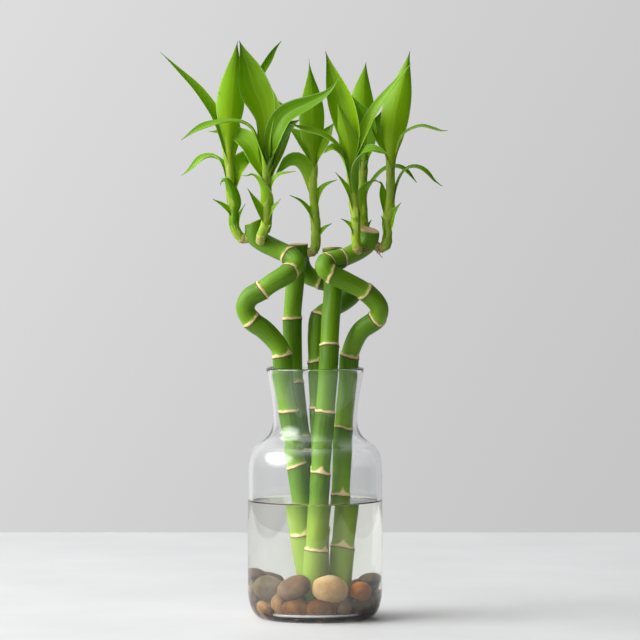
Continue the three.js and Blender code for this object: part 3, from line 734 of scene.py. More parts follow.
def make_cane(name, cane, seed):
    line = MiddleLine(cane["route"])
    radius = cane["radius"] * MM
    scars = [line.marks[i] for i in cane["scars"]]
    places = ring_places(line, scars)
    stops = [-BELOW_FOOT, *scars, line.length + ABOVE_CUT]
    drop, drop_angle = cane["cut"]
    bm = bmesh.new()
    cane_layer = bm.verts.layers.float_vector.new("cane")
    marks_layer = bm.verts.layers.float_vector.new("marks")
    gap_layer = bm.verts.layers.float.new("gap")
    rings = grow_rings(bm, len(places), CANE_SIDES)
    for distance, ring in zip(places, rings):
        point, tangent, side, depth = line.read(distance)
        bend = (line.read(distance + MM)[1] - line.read(distance - MM)[1]) / (2 * MM)
        above = np.searchsorted(scars, distance)
        for i, vert in enumerate(ring):
            turn = 2 * math.pi * i / CANE_SIDES - math.pi
            out = side * math.cos(turn) + depth * math.sin(turn)
            angle = math.atan2(out.y, out.x)
            cream = rust = rise = 0.0
            lower, upper = stops[above], stops[above + 1]
            for index, scar in zip(cane["scars"], scars):
                if abs(distance - scar) < 2 * SCAR_REACH:
                    stretch = max(0.4, 1 - radius * bend.dot(out))
                    cream, rust, rise, edge = scar_at(cane, index, scar, distance, out, stretch, seed)
                    if distance < edge:
                        lower, upper = stops[stops.index(scar) - 1], edge
                    else:
                        lower, upper = edge, stops[stops.index(scar) + 1]
            share = (distance - lower) / (upper - lower)
            body = SWELL * (2 * smoothstep(0.0, 1.0, share) - 1)
            rough = DENTS * noise.noise(out * 1.5 + Vector((0, 0, distance / DENT_WIDTH + 9 * seed)))
            fall = 0.0
            if distance > line.length - CUT_ZONE:
                low = math.cos(angle - math.radians(drop_angle))
                near_cut = smoothstep(line.length - CUT_ZONE, line.length, distance)
                fall = drop * MM * (1 + low) / 2 * near_cut
            vert.co = point + out * (radius + body + rise + rough) - tangent * fall
            vert[cane_layer] = (math.cos(turn) * radius, math.sin(turn) * radius, distance)
            vert[marks_layer] = (cream, rust, float(distance > line.length - 0.5 * SCAR_STEP))
            vert[gap_layer] = share + cane.get("tone", 0.0)
    for ring, inward in ((rings[0], line.read(0)[1]), (rings[-1], -line.read(line.length)[1])):
        for vert in close_end(bm, ring, inward):
            vert[marks_layer] = (0, 0, 1)
    finish_piece(bm, "cane_" + name, cane_finish, "stalk_" + name)


for seed, (name, cane) in enumerate(CANES.items()):
    make_cane(name, cane, seed)

# %% [markdown]
# ## The shoots
# A leafy shoot is a slim stem wrapped in leaf sheaths. Each leaf starts as a tube that hugs the
# stem, opens, and flattens into a spear-shaped blade with a channel along its middle.
#
# For each shoot a table gives the stem's line, then the leaves. A leaf has its full width, its turn
# (0 shows the channel to the front, 90 the edge, 180 the back; several turns are a twist from the
# base to the tip) and its route. Then comes what sets it apart: where along the blade it is widest,
# how deep its channel is, how slim its foot and its tip are, and its age and shade, from 0 for the
# palest green to 1 for the deepest. Leaves lying in the shade of others are given the deepest green
# as painted shade. The last lists, where there are any, are dry root hairs.

# %% The shoots' tables
def leaf(width, turn, *route, widest=0.4, channel=0.6, slim=1.3, taper=1.3, age_and_shade=None):
    turns = turn if isinstance(turn, tuple) else (turn,)
    shape = {"spear": (widest, slim, taper), "channel": channel}
    return {"width": width, "turns": turns, "route": list(route), "age_and_shade": age_and_shade, **shape}


SHOOTS = {
    "left_end": {
        "stem": [
            (-43.5, 1, 255), (-47, 1, 253.6), (-51.2, 1, 256.6), (-53.8, 1, 262.2), (-54.4, 1, 269),
            (-54.9, 1.5, 279), (-56, 2, 289), (-57, 3, 303),
        ],
        "leaves": [
            leaf(
                19, -170, (-57, 3, 300), (-57.1, 3, 326), (-55.4, 2, 348), (-51.6, -3, 385.2), widest=0.5,
                slim=4.5,
            ),
            leaf(
                9.5, 42, (-57, 3, 298), (-62, 6, 321), (-66.8, 8, 335.3), (-77.7, 12, 352),
                (-90.5, 15, 365.4), (-103.6, 18, 378.6),
            ),
            leaf(
                8, (30, 40, 88, 50, 45), (-56.6, 2, 284), (-58.2, 3, 294), (-60.6, 5, 301.8),
                (-65, 8, 306.8), (-70, 10, 308.2), (-75.4, 11, 306.8), (-84.2, 13, 299.5),
                (-89.4, 14, 296), widest=0.6,
            ),
            leaf(
                11, (-30, -20, 20, 70), (-55.5, 2, 284), (-53.3, 3, 292), (-51.8, 5, 301), (-49, 7, 306.5),
                (-45.5, 10, 309), (-44.5, 13.5, 306), (-48.7, 15.5, 298),
            ),
            leaf(5, 50, (-54.4, 1, 265), (-57, 0, 271.3), (-61.7, -2, 276.2), (-68, -4, 280.2)),
            leaf(5.5, -50, (-50, 1, 255), (-51.2, 0, 262), (-50.3, 0, 269), (-46.5, 1, 277.2), widest=0.25),
            leaf(
                10, 165, (-54.5, 0, 268), (-55, -1.4, 279), (-57, -2.4, 288), (-59.5, -3, 293),
                (-62, -2, 292.5), (-63, -0.5, 289.5), widest=0.3, channel=1.2, age_and_shade=1.0,
            ),
            leaf(12, 170, (-57, 3, 302), (-56, 9, 325), (-60, 21, 346), (-62, 36, 352)),
        ],
    },
    "left_front": {
        "stem": [
            (-36.3, -5, 252), (-36, -8.2, 254.4), (-35, -9.3, 258), (-33.4, -9.5, 262.5),
            (-32.3, -9.5, 269), (-31.8, -9.3, 277), (-31.7, -9, 285), (-32.4, -9, 302),
        ],
        "leaves": [
            leaf(
                21, 8, (-32.5, -9, 300), (-33, -9.5, 320), (-33.7, -10, 334), (-36.4, -11.5, 345),
                (-40, -13, 352.5), (-43.2, -16, 364), (-49.9, -22, 384.8), widest=0.6, slim=5,
            ),
            leaf(
                14, -24, (-32, -9, 298), (-29, -10, 314), (-26, -11.2, 325), (-20.3, -12.5, 334.6),
                (-13, -14, 339.3), (-3.8, -15.5, 343.6), (5.7, -16.5, 348.8), (11.5, -17.3, 353.8),
                (15.6, -18, 360.3), age_and_shade=1.0,
            ),
            leaf(12, 0, (-32, -9, 296), (-26, -3, 325), (-28, 0, 347), (-33.2, 1, 361.3)),
            leaf(15, -8, (-32, -9, 290), (-25, -2, 316), (-22.5, 2, 333), (-28.3, 5, 349.5), widest=0.7),
            leaf(
                5, 20, (-32, -8, 298), (-38.5, -1, 338), (-37, 2, 362), (-31, 4, 373.3), (-27, 5, 380),
                (-22.6, 6, 385.6), widest=0.8,
            ),
            leaf(
                8.5, (55, 65, 85, 80, 55, 60), (-32, -9, 296), (-34.9, -10.5, 309.5), (-39.4, -12, 320.3),
                (-43, -13, 327.3), (-48.5, -14, 330.6), (-56, -15, 331.3), (-65, -16, 330),
                (-76.8, -17.3, 326.3), (-88.4, -19, 319.4), widest=0.72,
            ),
            leaf(15, 20, (-32.5, -9, 289), (-37, -5, 303), (-44, 3, 317), (-54, 9, 324), (-71, 12, 325.5)),
            # This leaf's deepest green is painted shade: it lies in the shade of the leaves above it.
            leaf(
                13, -15, (-32, -9, 303), (-31, -9, 310), (-28, -8, 318), (-22.9, -6, 324),
                (-17.8, -4, 328.3), (-10.5, -1, 333), widest=0.5, slim=2, age_and_shade=1.0,
            ),
            leaf(7, 30, (-32.5, -9, 294), (-35.5, -7, 312), (-38.6, -6, 331)),
            leaf(
                10.5, (165, 160, 150, 120, 95, 95), (-32.3, -9.5, 261), (-33, -11, 274), (-35.2, -13, 286),
                (-38.3, -15, 293.2), (-41.5, -15.5, 296.4), (-45, -15, 295.6), (-48.2, -14, 296),
                widest=0.45, channel=1.0,
            ),
            leaf(
                6.5, -60, (-31.5, -9.3, 277), (-29.6, -11, 287), (-27, -12.5, 293.3), (-23.5, -14, 296.4),
                (-18.5, -15.5, 297.6), (-12.7, -17, 298.8), widest=0.3,
            ),
            leaf(6.5, 40, (-33, -9.5, 262), (-35.5, -11, 270), (-38.8, -12.5, 276.4), (-44.7, -14, 287.4)),
            leaf(5, -50, (-32.2, -9.5, 262), (-30.6, -11, 269), (-28.2, -12, 273.3), (-22.6, -14, 280.4)),
            leaf(4, -45, (-33.8, -10, 256.5), (-32.3, -11.6, 260.3), (-29, -13, 263.2)),
        ],
    },
    "middle": {
        "stem": [
            (-4.9, 8, 244.5), (-1.8, 7.6, 244.8), (0.2, 6.7, 248.5), (0.5, 6, 256), (0.2, 6, 269),
            (-1, 6, 281.5), (-1.6, 6, 301),
        ],
        "leaves": [
            leaf(
                17, -178, (-1.5, 6, 298), (-2, 6, 322), (-2.3, 4, 349.5), (-4, -1, 373.4), widest=0.48,
                taper=1.8,
            ),
            leaf(
                12, 35, (-1, 6, 298), (-3, 8, 309), (-8, 11, 319), (-18.5, 15, 329), widest=0.5, slim=2,
                age_and_shade=0.0,
            ),
            leaf(
                12, -25, (-1, 6, 300), (1, 6.5, 310), (5.5, 9, 319.5), (13, 13, 331.5), widest=0.5, slim=2,
                age_and_shade=0.0,
            ),
            leaf(
                11, (140, 148, 150, 145), (-0.8, 6, 270), (-2, 5, 284), (-4.4, 4.5, 295), (-7.6, 4, 302),
                (-12.3, 3.5, 305.8), (-17, 3, 305.2), (-21.8, 2.5, 301), (-27.5, 2, 295), widest=0.6,
            ),
            leaf(
                6.5, -50, (0, 6, 268), (1.2, 5, 276), (2.6, 4.5, 282.5), (5.2, 4, 287.8),
                (8.8, 3.5, 290.6), (14.6, 3, 293.1),
            ),
            leaf(
                5.5, 55, (0.4, 6, 257), (-1.5, 5, 267), (-3.5, 4, 271), (-6.5, 3, 275.5),
                (-10.2, 2, 279.3), (-16.8, 1, 282.8),
            ),
            leaf(4.5, -45, (0.7, 6.2, 250), (2.8, 5, 256.5), (6.2, 4.5, 260.7), (11.2, 4, 264)),
            leaf(11, 175, (-1.2, 6, 288), (-2.2, 14, 308), (-3, 29, 327), (-5, 43, 326), widest=0.6, slim=4),
        ],
    },
    "right_front": {
        "stem": [
            (28.4, -8.5, 246), (28.2, -12.2, 247.4), (27.3, -13.4, 251), (27, -13.4, 257), (27, -13, 269),
            (25.7, -12.3, 281), (24, -11.5, 302),
        ],
        "leaves": [
            leaf(
                17.5, -6, (24, -11, 300), (23.6, -11, 320), (19.6, -12, 337), (13.3, -14, 357),
                (7, -19, 377.8), widest=0.5, channel=0.95,
            ),
            leaf(13, 165, (24, -11.5, 294), (22.6, -14, 311), (20, -18, 325), (14.7, -25, 345)),
            leaf(
                11, -52, (24, -11.5, 296), (26.5, -12, 308), (30.6, -13, 319), (39.7, -15, 337.3),
                (51.8, -18, 354.7), (63.4, -21, 369.8),
            ),
            leaf(
                7, (85, 80, 60, 50), (24.8, -11.8, 285), (22.5, -12.5, 300), (16.6, -13, 312.5),
                (10.6, -14, 319), (3.7, -15, 323), (-6.6, -16.5, 326), (-16.3, -18, 330), widest=0.75,
            ),
            leaf(
                8, (50, 60, 80, 40), (25.2, -12, 277), (22.8, -14, 293), (18.3, -16.5, 306),
                (14.8, -18.5, 311.8), (11.4, -20, 313.6), (5.9, -21, 310.6), widest=0.82,
            ),
            leaf(
                10.5, (-145, -140, -115, -60, -30), (26, -12, 274), (27, -14, 286), (27.8, -16, 296),
                (29.8, -18, 305.5), (33, -19.5, 311.2), (38, -20.5, 312.8), (43, -21, 311.8),
                (49.5, -21.5, 309.6), widest=0.66, age_and_shade=0.8,
            ),
            leaf(
                6.5, 45, (26.5, -12.5, 267), (25, -13.5, 277), (21.8, -14.5, 285.6), (17.4, -15.5, 293),
                (13.6, -16.5, 298),
            ),
            leaf(5, 45, (27, -13.5, 252), (24.5, -14.5, 261), (21.2, -15, 264.8), (17.3, -16, 267.3)),
        ],
        "hairs": [
            [(29.5, -11.5, 247), (33, -9.4, 246.4), (38, -8.2, 244.8)],
            [(29.5, -12, 245.5), (32, -10.2, 244.6), (35.5, -9.4, 245)],
            [(30, -11, 248), (32.6, -9.2, 248.3), (35, -8.4, 247)],
        ],
    },
    "right_back": {
        "stem": [
            (32.5, 4, 250), (32.6, 8.4, 250.9), (32.8, 10.2, 254.5), (32.8, 10.3, 260), (31.8, 10.3, 275),
            (32.3, 10.4, 306),
        ],
        "leaves": [
            leaf(17, -172, (32.4, 10.5, 304), (32.8, 11, 326), (32, 13, 350), (34.2, 20, 372), widest=0.5),
            # This leaf's deepest green is painted shade, for the shade it lies in.
            leaf(
                14, -18, (32.3, 10, 302), (35, 7, 318), (34, 4, 334), (24.5, 1, 349.3), widest=0.5,
                age_and_shade=1.0,
            ),
            leaf(
                7, (-65, -68, -75, -60), (32.2, 10.3, 273), (34.8, 12, 285), (39.8, 13.5, 293.2),
                (46.6, 15, 299.8), (53.4, 16, 301.6), (59.2, 17, 299.8), (68.3, 19, 291.3), widest=0.75,
            ),
            leaf(
                10, (-155, -150, -110, -60), (31, 9.5, 266), (31, 7.5, 275), (32.4, 6.5, 284),
                (36, 7.5, 290), (40.5, 9, 292.4), (44, 12, 290.5),
            ),
            leaf(6, -150, (32.4, 10.3, 255), (32.4, 8, 264), (34, 7, 270), (35, 8, 274.5)),
            leaf(4, -45, (32.6, 10.2, 255), (35, 10, 261), (37.8, 10.5, 266.5)),
            leaf(12, 165, (32.5, 10.3, 300), (29, 18, 324), (24, 33, 343), (20, 46, 344)),
        ],
    },
    "right_end": {
        "stem": [
            (40, -1, 249.5), (43.7, -0.8, 247.4), (47.3, -0.4, 250.4), (48.4, 0, 256), (47.9, 0, 262.5),
            (47.9, 0, 269), (49.2, 0, 276), (50.5, 0, 288), (50.2, 0, 299),
        ],
        "leaves": [
            leaf(
                19, 172, (50.3, 0, 294), (50.7, 0, 317), (53.4, 0, 339), (56.9, 2, 353), (63.4, 8, 379),
                widest=0.5, slim=2.2,
            ),
            leaf(
                12, 20, (50.2, 0, 302), (48.5, 3, 313), (44, 5, 323), (41.5, 8, 331), (44.2, 10, 338.5),
                widest=0.6,
            ),
            leaf(
                4, (-60, -70, -70, -62), (50.4, 0, 290), (52, -0.5, 303.4), (54.2, -1, 312),
                (57, -1.5, 320), (60.4, -2, 324.6), (64.9, -3, 327), (71, -4, 328.6), (78.5, -5, 326.8),
                (83.9, -6, 325.5), (88, -7, 325.9), widest=0.82,
            ),
            leaf(
                5.4, (-55, -60, -85, -55, -55), (50.2, 0, 270), (52.2, 0.5, 279.3), (54.6, 1, 288.4),
                (57.8, 1.5, 296.2), (61, 2, 300), (66, 2.5, 301.5), (71, 3, 300.2), (75, 3.3, 297.4),
                (79.4, 3.6, 292.6), (84.9, 4, 288.8), widest=0.68,
            ),
            leaf(8.5, 28, (48, 0, 266), (47.2, 0.5, 275), (45, 1, 284), (44.2, 2, 291), (43, 3, 292.3)),
            leaf(
                6.5, -35, (48.2, 0, 255), (50.2, -2, 264), (52.2, -3, 270.3), (54.5, -4, 274.2),
                (57.3, -5, 278),
            ),
            leaf(6, 35, (48.3, -0.3, 250.5), (47.6, -1.5, 257.5), (46.2, -2.5, 264), (43.9, -3.5, 269.2)),
            leaf(9, 175, (50.2, 0, 297), (50.4, 5, 313), (51, 15, 331), (52, 30, 338)),
        ],
        "hairs": [
            [(41.5, -3.5, 251.5), (41, -4.2, 246), (44.9, -4.6, 241)],
            [(43, -3.4, 250.8), (41.8, -4.2, 247), (41.2, -4.8, 243.9)],
            [(41, -4, 249), (43.2, -4.6, 246.8), (43, -5, 243)],
        ],
    },
}
print(sum(len(shoot["leaves"]) for shoot in SHOOTS.values()), "leaves on", len(SHOOTS), "shoots")

# %% [markdown]
# A living leaf is thin and lets some light through, so its material mixes a satin surface with a
# translucent one. Fine veins run side by side from base to tip. The base is pale, the tip dark,
# and no two leaves are quite the same green. A pale band along every edge is a painted highlight,
# for the bright rim that light draws on a leaf's edges. At a shoot's foot, dry papery scales are
# straw yellow, and brown where they broke out.

# %% The leaf's finish
VEINS_ACROSS = 13
GLOW_SHARE = 0.38
LEAF_GREENS = [
    (0.0, "#BED452"), (1.0, "#35580E"), (0.12, "#B4D42A"), (0.35, "#A2CE0A"), (0.7, "#92C806"),
    (0.92, "#72A608"),
]


def satin_leaf():
    """Young dracaena leaf: satin yellow-green with fine parallel veins, glowing where lit behind."""
    material, tree = new_material("satin_green_leaf")
    blade = add_node(tree, "Attribute", attribute_name="blade").outputs["Vector"]
    paper = add_node(tree, "Attribute", attribute_name="paper").outputs["Fac"]
    part = add_node(tree, "SeparateXYZ", [blade]).outputs
    stretch = add_node(tree, "VectorMath", [blade, (VEINS_ACROSS, 1.5, 40.0)], operation="MULTIPLY")
    vein = add_node(tree, "TexNoise", {"Vector": stretch, "Scale": 1.0, "Detail": 2.0})
    off_middle = add_node(tree, "Math", [part["X"]], operation="ABSOLUTE")
    skin = add_node(tree, "ValToRGB", [part["Y"]], LEAF_GREENS)
    # The third share is the leaf's age and shade: the deepest green on shaded leaves is painted shade.
    aged_and_shaded = {0: part["Z"], 6: skin, 7: colour("#66A602")}
    skin = add_node(tree, "Mix", aged_and_shaded, data_type="RGBA")
    for reach, hex_value in (
        ([vein, 0.4, 0.7, 0.0, 0.4], "#B4D420"),
        ([off_middle, 0.02, 0.12, 0.4, 0.0], "#BCD640"),
        # A painted highlight: a pale band along every edge, standing in for the bright rim light.
        ([off_middle, 0.9, 1.0, 0.0, 0.6], "#D2E68C"),
        ([paper, 0.0, 1.0, 0.0, 1.0], "#E2D490"),
        ([paper, 0.75, 1.0, 0.0, 0.6], "#9C6C44"),
    ):
        share = add_node(tree, "MapRange", reach)
        skin = add_node(tree, "Mix", {0: share, 6: skin, 7: colour(hex_value)}, data_type="RGBA")
    bump = add_node(tree, "Bump", {"Strength": 0.3, "Distance": 0.04 * MM, "Height": vein})
    finish = {"Base Color": skin, "Roughness": 0.42, "IOR": 1.38, "Normal": bump}
    surface = add_node(tree, "BsdfPrincipled", finish)
    glow = add_node(tree, "BsdfTranslucent", [skin])
    both = add_node(tree, "MixShader", [GLOW_SHARE, surface, glow])
    add_node(tree, "OutputMaterial", [both])
    return material


leaf_finish = satin_leaf()
print(leaf_finish.name, "has", len(leaf_finish.node_tree.nodes), "nodes")

# %% [markdown]
# A leaf starts as a flat grid, one way across the blade and the other along it. Each row is bent
# to an arc: nearly a full round where it hugs the stem, a shallow channel in the blade. The arc's
# width follows the spear shape. Solidify then gives the sheet its thickness and closes its rim.

# %% One leaf
LEAF_ACROSS = 10
LEAF_THICK = 0.4 * MM
STEM_RADIUS = 3.2
STEM_TIP = 2.6
SHEATH = 13.0
SHEATH_WRAP = 2.8
OPENING = 0.3
TIP_HALF = 0.12 * MM
ROW_STEP = 2.2 * MM
TUCK = 0.7 * MM
TUCK_LENGTH = 5 * MM
RIPPLE = 0.5 * MM
RIPPLED_HALF = 8 * MM
CREASE = 0.12
OPENS_BELOW = 2 * MM
TO_THE_BACK = Vector((0, 1, 0))


def spear_width(share, widest, slim, taper):
    """How wide the blade is at a share of its length, as a share of its full width."""
    if share < widest:
        return 0.3 + 0.7 * math.sin(math.pi / 2 * share / widest) ** slim
    return max(0.0, math.cos(math.pi / 2 * (share - widest) / (1 - widest))) ** taper


def add_leaf(bm, layers, blade, foot, hug, wrap=SHEATH_WRAP, age_and_shade=0.0, paper=0.0, phase=0.0):
    """A leaf along its foot and route. Along the foot it hugs a stem of radius hug."""
    line = MiddleLine(foot + blade["route"])
    sheath = line.marks[len(foot)]
    rows = max(10, round(line.length / ROW_STEP))
    grid = bmesh.ops.create_grid(bm, x_segments=LEAF_ACROSS, y_segments=rows, size=1)["verts"]
    turn_places = np.linspace(0, 1, len(blade["turns"]))
    ring = {}
    for vert in grid:
        u, v = vert.co.x, (vert.co.y + 1) / 2
        row = round(v * rows)
        if row not in ring:
            distance = line.length * row / rows
            point, tangent, _, _ = line.read(distance)
            share = max(0.0, (distance - sheath) / (line.length - sheath))
            turn = math.radians(np.interp(share, turn_places, blade["turns"]))
            flat = TO_THE_BACK.cross(tangent).normalized()
            across = flat * math.cos(turn) + tangent.cross(flat) * math.sin(turn)
            opened = sheath + OPENING * (line.length - sheath)
            open_share = smoothstep(sheath - OPENS_BELOW, opened, distance)
            tuck = TUCK * (1 - smoothstep(0.0, TUCK_LENGTH, distance))
            half = max(blade["width"] * MM / 2 * spear_width(share, *blade["spear"]), TIP_HALF)
            half = (hug - tuck) * (1 - open_share) + half * open_share
            arc = wrap * (1 - open_share) + blade["channel"] * open_share
            ring[row] = (point, across, across.cross(tangent), half, arc, share, open_share)
        point, across, inward, half, arc, share, open_share = ring[row]
        radius = half / math.sin(min(arc, math.pi / 2))
        ripple = RIPPLE * math.sin(share * 9 + phase) * open_share * abs(u) ** 3 * (half / RIPPLED_HALF)
        crease = CREASE * half * abs(u) * open_share
        offset = radius * (1 - math.cos(arc * u)) + crease + ripple - half * (1 - open_share)
        vert.co = point + across * radius * math.sin(arc * u) + inward * offset
        vert[layers["blade"]] = (u, share, age_and_shade)
        drier = (1 - paper) * (1 - smoothstep(0.0, 0.4, v))
        vert[layers["paper"]] = paper + drier if paper else 0.0
    faces = list({face for vert in grid for face in vert.link_faces})
    bmesh.ops.solidify(bm, geom=faces, thickness=LEAF_THICK)


print("a blade's width near its tip:", spear_width(0.9, 0.4, 1.3, 1.3))

# %% [markdown]
# The stem is a tapering tube. Every leaf's route is lengthened downwards along the stem, which
# makes its sheath, with the lower edge tucked into the stem. A ring of short papery scales wraps
# the foot, where the shoot broke out of the cane, and a few dry root hairs curl out there.

# %% Making a shoot
STEM_SIDES = 20
SCALES = 6
HAIR_RADIUS = 0.28 * MM
STEM_STEP = 1.5 * MM
HAIR_STEP = 1.2 * MM
HAIR_SIDES = 5
DRY_FOOT = (3 * MM, 7 * MM)
STEM_GREEN = 0.08
STEM_AGE = 0.1
LEAF_AGES = (0.0, 0.45)
LOOSE = (0.15, 0.4)
SCALE_WIDTH = 5.0
SCALE_START = (2.5, 4.5)
SCALE_LENGTH = (4, 7)
SCALE_WRAP = 1.1


def stem_radius(line, distance):
    return (STEM_RADIUS + (STEM_TIP - STEM_RADIUS) * distance / line.length) * MM


def add_tube(bm, layers, line, sides, step, radius_at, paper_at):
    """A closed tube along a line, with a radius and a share of dryness at every distance."""
    count = round(line.length / step)
    rings = grow_rings(bm, count + 1, sides)
    for i, ring in enumerate(rings):
        distance = line.length * i / count
        point, _, side, depth = line.read(distance)
        for k, vert in enumerate(ring):
            turn = 2 * math.pi * k / sides
            out = side * math.cos(turn) + depth * math.sin(turn)
            vert.co = point + out * radius_at(distance)
            vert[layers["blade"]] = (0.3 * math.sin(3 * turn), STEM_GREEN, STEM_AGE)
            vert[layers["paper"]] = paper_at(distance)
    for ring in (rings[0], rings[-1]):
        bmesh.ops.edgeloop_fill(bm, edges=open_edges(ring))


def nearest_distance(line, point):
    gaps = np.linalg.norm(line.tables[0] - np.array(point), axis=1)
    return float(line.distance[int(np.argmin(gaps))])


def add_scales(bm, layers, line, draw):
    for k in range(SCALES):
        outward = 360 / SCALES * k + draw.uniform(-20, 20)
        start = draw.uniform(*SCALE_START) * MM
        length = draw.uniform(*SCALE_LENGTH) * MM
        route = []
        for share in (0.0, 0.5, 1.0):
            flare = (0.2 + 1.1 * share**2) * MM
            angle = math.radians(outward)
            out = Vector((math.cos(angle), math.sin(angle), 0)) * flare
            route.append(tuple((line.read(start + share * length)[0] + out) / MM))
        scale = leaf(SCALE_WIDTH, outward - 90, *route[1:], channel=0.9)
        hug = stem_radius(line, start) + 0.5 * MM
        add_leaf(bm, layers, scale, route[:1], hug, wrap=SCALE_WRAP, paper=draw.uniform(0.3, 0.7))


def make_shoot(name, shoot, seed):
    draw = random.Random(seed)
    bm = bmesh.new()
    corners = bm.verts.layers
    layers = {"blade": corners.float_vector.new("blade"), "paper": corners.float.new("paper")}
    line = MiddleLine(shoot["stem"])

    def dryness(distance):
        return 0.6 * (1 - smoothstep(*DRY_FOOT, distance))

    add_tube(bm, layers, line, STEM_SIDES, STEM_STEP, lambda distance: stem_radius(line, distance), dryness)
    add_scales(bm, layers, line, draw)
    for blade in shoot["leaves"]:
        start = nearest_distance(line, Vector(blade["route"][0]) * MM)
        sheath = min(SHEATH * MM, 0.75 * start)
        foot = [tuple(line.read(start - sheath * share)[0] / MM) for share in (1.0, 0.66, 0.33)]
        hug = stem_radius(line, start) + draw.uniform(*LOOSE) * MM
        age_and_shade = draw.uniform(*LEAF_AGES)
        if blade["age_and_shade"] is not None:
            age_and_shade = blade["age_and_shade"]
        phase = draw.uniform(0, 6)
        add_leaf(bm, layers, blade, foot, hug, age_and_shade=age_and_shade, phase=phase)
    for route in shoot.get("hairs", []):
        add_tube(bm, layers, MiddleLine(route), HAIR_SIDES, HAIR_STEP, lambda _: HAIR_RADIUS, lambda _: 1.0)
    finish_piece(bm, "shoot_spray_" + name, leaf_finish, "shoot_" + name)


for seed, (name, shoot) in enumerate(SHOOTS.items()):
    make_shoot(name, shoot, seed)

# %% [markdown]
# ## The pebbles
# River pebbles are stones worn round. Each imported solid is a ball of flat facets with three
# different half-widths. Those are measured from its corners: the corners of such a ball spread
# evenly, so the spread's matrix gives the stretch that turns a round ball into this one. A finer
# ball gets the same stretch, and a little noise makes it a stone and no egg.

# %% The stretch of a packed pebble
def stretch_of(node):
    """Centre of a packed pebble, and the matrix that stretches a ball of radius 1 into it."""
    corners = {tuple(round(c, 7) for c in vertex.co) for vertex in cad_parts[node].data.vertices}
    places = np.array(sorted(corners))
    centre = places.mean(axis=0)
    spread = 3 * np.cov((places - centre).T, bias=True)
    sizes, directions = np.linalg.eigh(spread)
    stretch = directions @ np.diag(np.sqrt(sizes)) @ directions.T
    return Vector(centre), Matrix(stretch.tolist()), np.sqrt(sizes)


pebble_nodes = sorted(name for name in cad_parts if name.startswith("pebble_"))
print(len(pebble_nodes), "pebbles, the first with half-widths", stretch_of(pebble_nodes[0])[2])

# %% [markdown]
# The stones differ in kind: grey sandstone, brown quartzite, tan flint, and one pale cream one
# with rusty spots. All are mottled at two scales, a few millimetres and a fraction of one. They
# lie under water, so they look wet: deep in colour, but with hardly any shine, because water and
# stone bend light almost alike. Hence the low index.

# %% The stones' finish
GRIT_WIDTH = 0.9 * MM


def river_stone(name, light, dark, fleck, grain):
    """A worn, wet river stone: soft clouds of two tones, with fine flecks of a third."""
    material, tree = new_material(name)
    place = add_node(tree, "TexCoord").outputs["Object"]
    mottle = {"Vector": place, "Scale": 1 / (grain * MM), "Detail": 5.0, "Roughness": 0.6}
    cloud = add_node(tree, "TexNoise", mottle)
    body = add_node(tree, "ValToRGB", [cloud], [(0.32, dark), (0.68, light)])
    grit = add_node(tree, "TexNoise", {"Vector": place, "Scale": 1 / GRIT_WIDTH, "Detail": 3.0})
    share = add_node(tree, "MapRange", [grit, 0.56, 0.68, 0.0, 0.55])
    flecked = add_node(tree, "Mix", {0: share, 6: body, 7: colour(fleck)}, data_type="RGBA")
    bump = add_node(tree, "Bump", {"Strength": 0.4, "Distance": 0.2 * MM, "Height": grit})
    finish = {"Base Color": flecked, "Roughness": 0.45, "IOR": 1.16, "Normal": bump}
    stone = add_node(tree, "BsdfPrincipled", finish)
    add_node(tree, "OutputMaterial", [stone])
    return material


STONES = {
    river_stone("olive_sandstone", "#74644A", "#4A3C26", "#302514", 9): "06 09 13 17 22",
    river_stone("mauve_sandstone", "#82664A", "#58402E", "#3A2A1C", 8): "05 14",
    river_stone("rusty_quartzite", "#84561E", "#50300E", "#2E1A06", 4): "03 04 10",
    river_stone("dark_quartzite", "#5C4222", "#382610", "#201406", 6): "08 12 18 20 21",
    river_stone("amber_flint", "#B06A1C", "#78400E", "#522A08", 7): "11 16",
    river_stone("pale_flint", "#A68052", "#7C5830", "#5A3C1C", 5): "01 02 07 19 23",
    river_stone("cream_limestone", "#D8BA90", "#B89058", "#9A6226", 10): "15",
}
STONE_OF = {number: stone for stone, numbers in STONES.items() for number in numbers.split()}
print(len(STONES), "kinds of stone for", len(STONE_OF), "pebbles")

# %% [markdown]
# No stone is quite the ball that stands for it. A table gives how far a few of them sit from that
# place, in millimetres, and how much broader, deeper and higher they are.

# %% Making a pebble
BALL_CUTS = 5
LUMPS = 0.09
PLAIN_BALL = ((0, 0, 0), (1, 1, 1))
STONE_SHAPES = {
    "01": ((0, -2, -0.4), (1.2, 1, 1)),
    "02": ((1.2, -1, 2.2), (1.1, 1, 1.4)),
    "03": ((-0.4, 0, 0.3), (1.05, 1, 1.1)),
    "04": ((-2.4, -0.4, 0.4), (1.1, 1, 1.15)),
    "05": ((-3.6, -1.5, 1.8), (1.05, 1, 1.1)),
    "06": ((-1.5, 0, 0), (1.1, 1, 1)),
    "10": ((-9, 3.5, 0), (1, 1, 1)),
    "13": ((1.2, 0, 0.6), (1.4, 1, 1.2)),
    "14": ((0.5, 0, 0), (1, 1, 1)),
    "15": ((-3.5, 0, -0.2), (0.98, 1, 1.15)),
    "16": ((-1.5, 0, -2.2), (1.15, 1.1, 1.15)),
    "18": ((5, 3, 0), (1, 1, 1)),
    "21": ((1, 0, -2.8), (1.1, 1, 0.68)),
    "22": ((-1.5, 0, -1.8), (1.2, 1, 0.85)),
}


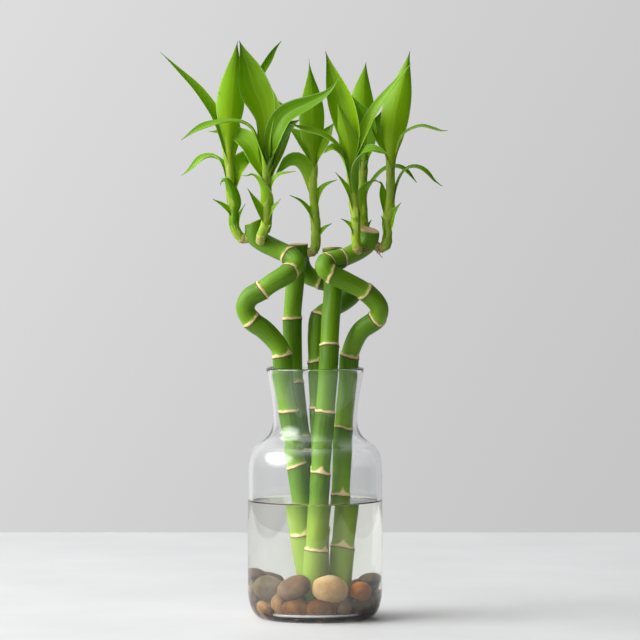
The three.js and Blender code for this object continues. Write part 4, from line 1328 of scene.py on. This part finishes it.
def make_pebble(node):
    centre, stretch, _ = stretch_of(node)
    _, tone, number = node.split("_")
    shift, widening = STONE_SHAPES.get(number, PLAIN_BALL)
    bm = bmesh.new()
    bmesh.ops.create_icosphere(bm, subdivisions=BALL_CUTS, radius=1)
    for vert in bm.verts:
        spot = vert.co + Vector((int(number) * 3.1, 0, 0))
        lump = noise.noise(spot * 0.9) + 0.35 * noise.noise(spot * 2.4)
        place = stretch @ (vert.co * (1 + LUMPS * lump))
        vert.co = centre + Vector(shift) * MM + place * Vector(widening)
    finish_piece(bm, f"river_pebble_{number}", STONE_OF[number], node)


for node in pebble_nodes:
    make_pebble(node)

# %% [markdown]
# Small grains of dark stone fill the gaps between the pebbles as painted shade: they darken the
# gaps and hide the feet of the canes. They are strewn in rings by seeded draws, wherever a grain's
# middle falls in no pebble, and fused to a single piece. The front is left to the pebbles.

# %% Dark gravel as painted shade between the pebbles
GRAVEL_RINGS = {(36, 7.6): 44, (30, 7.8): 36, (24, 7.8): 26, (33.5, 15): 40, (27.5, 15.5): 34, (21, 16): 24}
GRAIN_HALF = (2.0, 3.4)
FRONT_CLEAR = -25.5 * MM


def is_free(spot):
    for node in pebble_nodes:
        centre, stretch, _ = stretch_of(node)
        shift, widening = STONE_SHAPES.get(node[-2:], PLAIN_BALL)
        away = spot - centre - Vector(shift) * MM
        away = stretch.inverted() @ Vector([a / w for a, w in zip(away, widening)])
        if away.length < 1:
            return False
    return True


def make_shade_gravel():
    draw = random.Random(5)
    bm = bmesh.new()
    for (ring, height), count in GRAVEL_RINGS.items():
        for k in range(count):
            angle = 2 * math.pi * (k + draw.uniform(-0.3, 0.3)) / count
            reach = ring + draw.uniform(-1.2, 1.2)
            lift = height + draw.uniform(-0.4, 1.2)
            spot = Vector((reach * math.cos(angle), reach * math.sin(angle), lift)) * MM
            halves = Vector([draw.uniform(*GRAIN_HALF) * MM for _ in range(3)])
            turn = Matrix.Rotation(draw.uniform(0, math.pi), 4, "Z")
            if spot.y > FRONT_CLEAR and is_free(spot):
                place = Matrix.Translation(spot) @ turn @ Matrix.Diagonal((*halves, 1))
                bmesh.ops.create_icosphere(bm, subdivisions=3, radius=1, matrix=place)
    # The grains take the dark quartzite's finish, so the gaps read as shade.
    finish_piece(bm, "dark_gravel_as_shade", STONE_OF["12"], "pebble_brown_12")


make_shade_gravel()
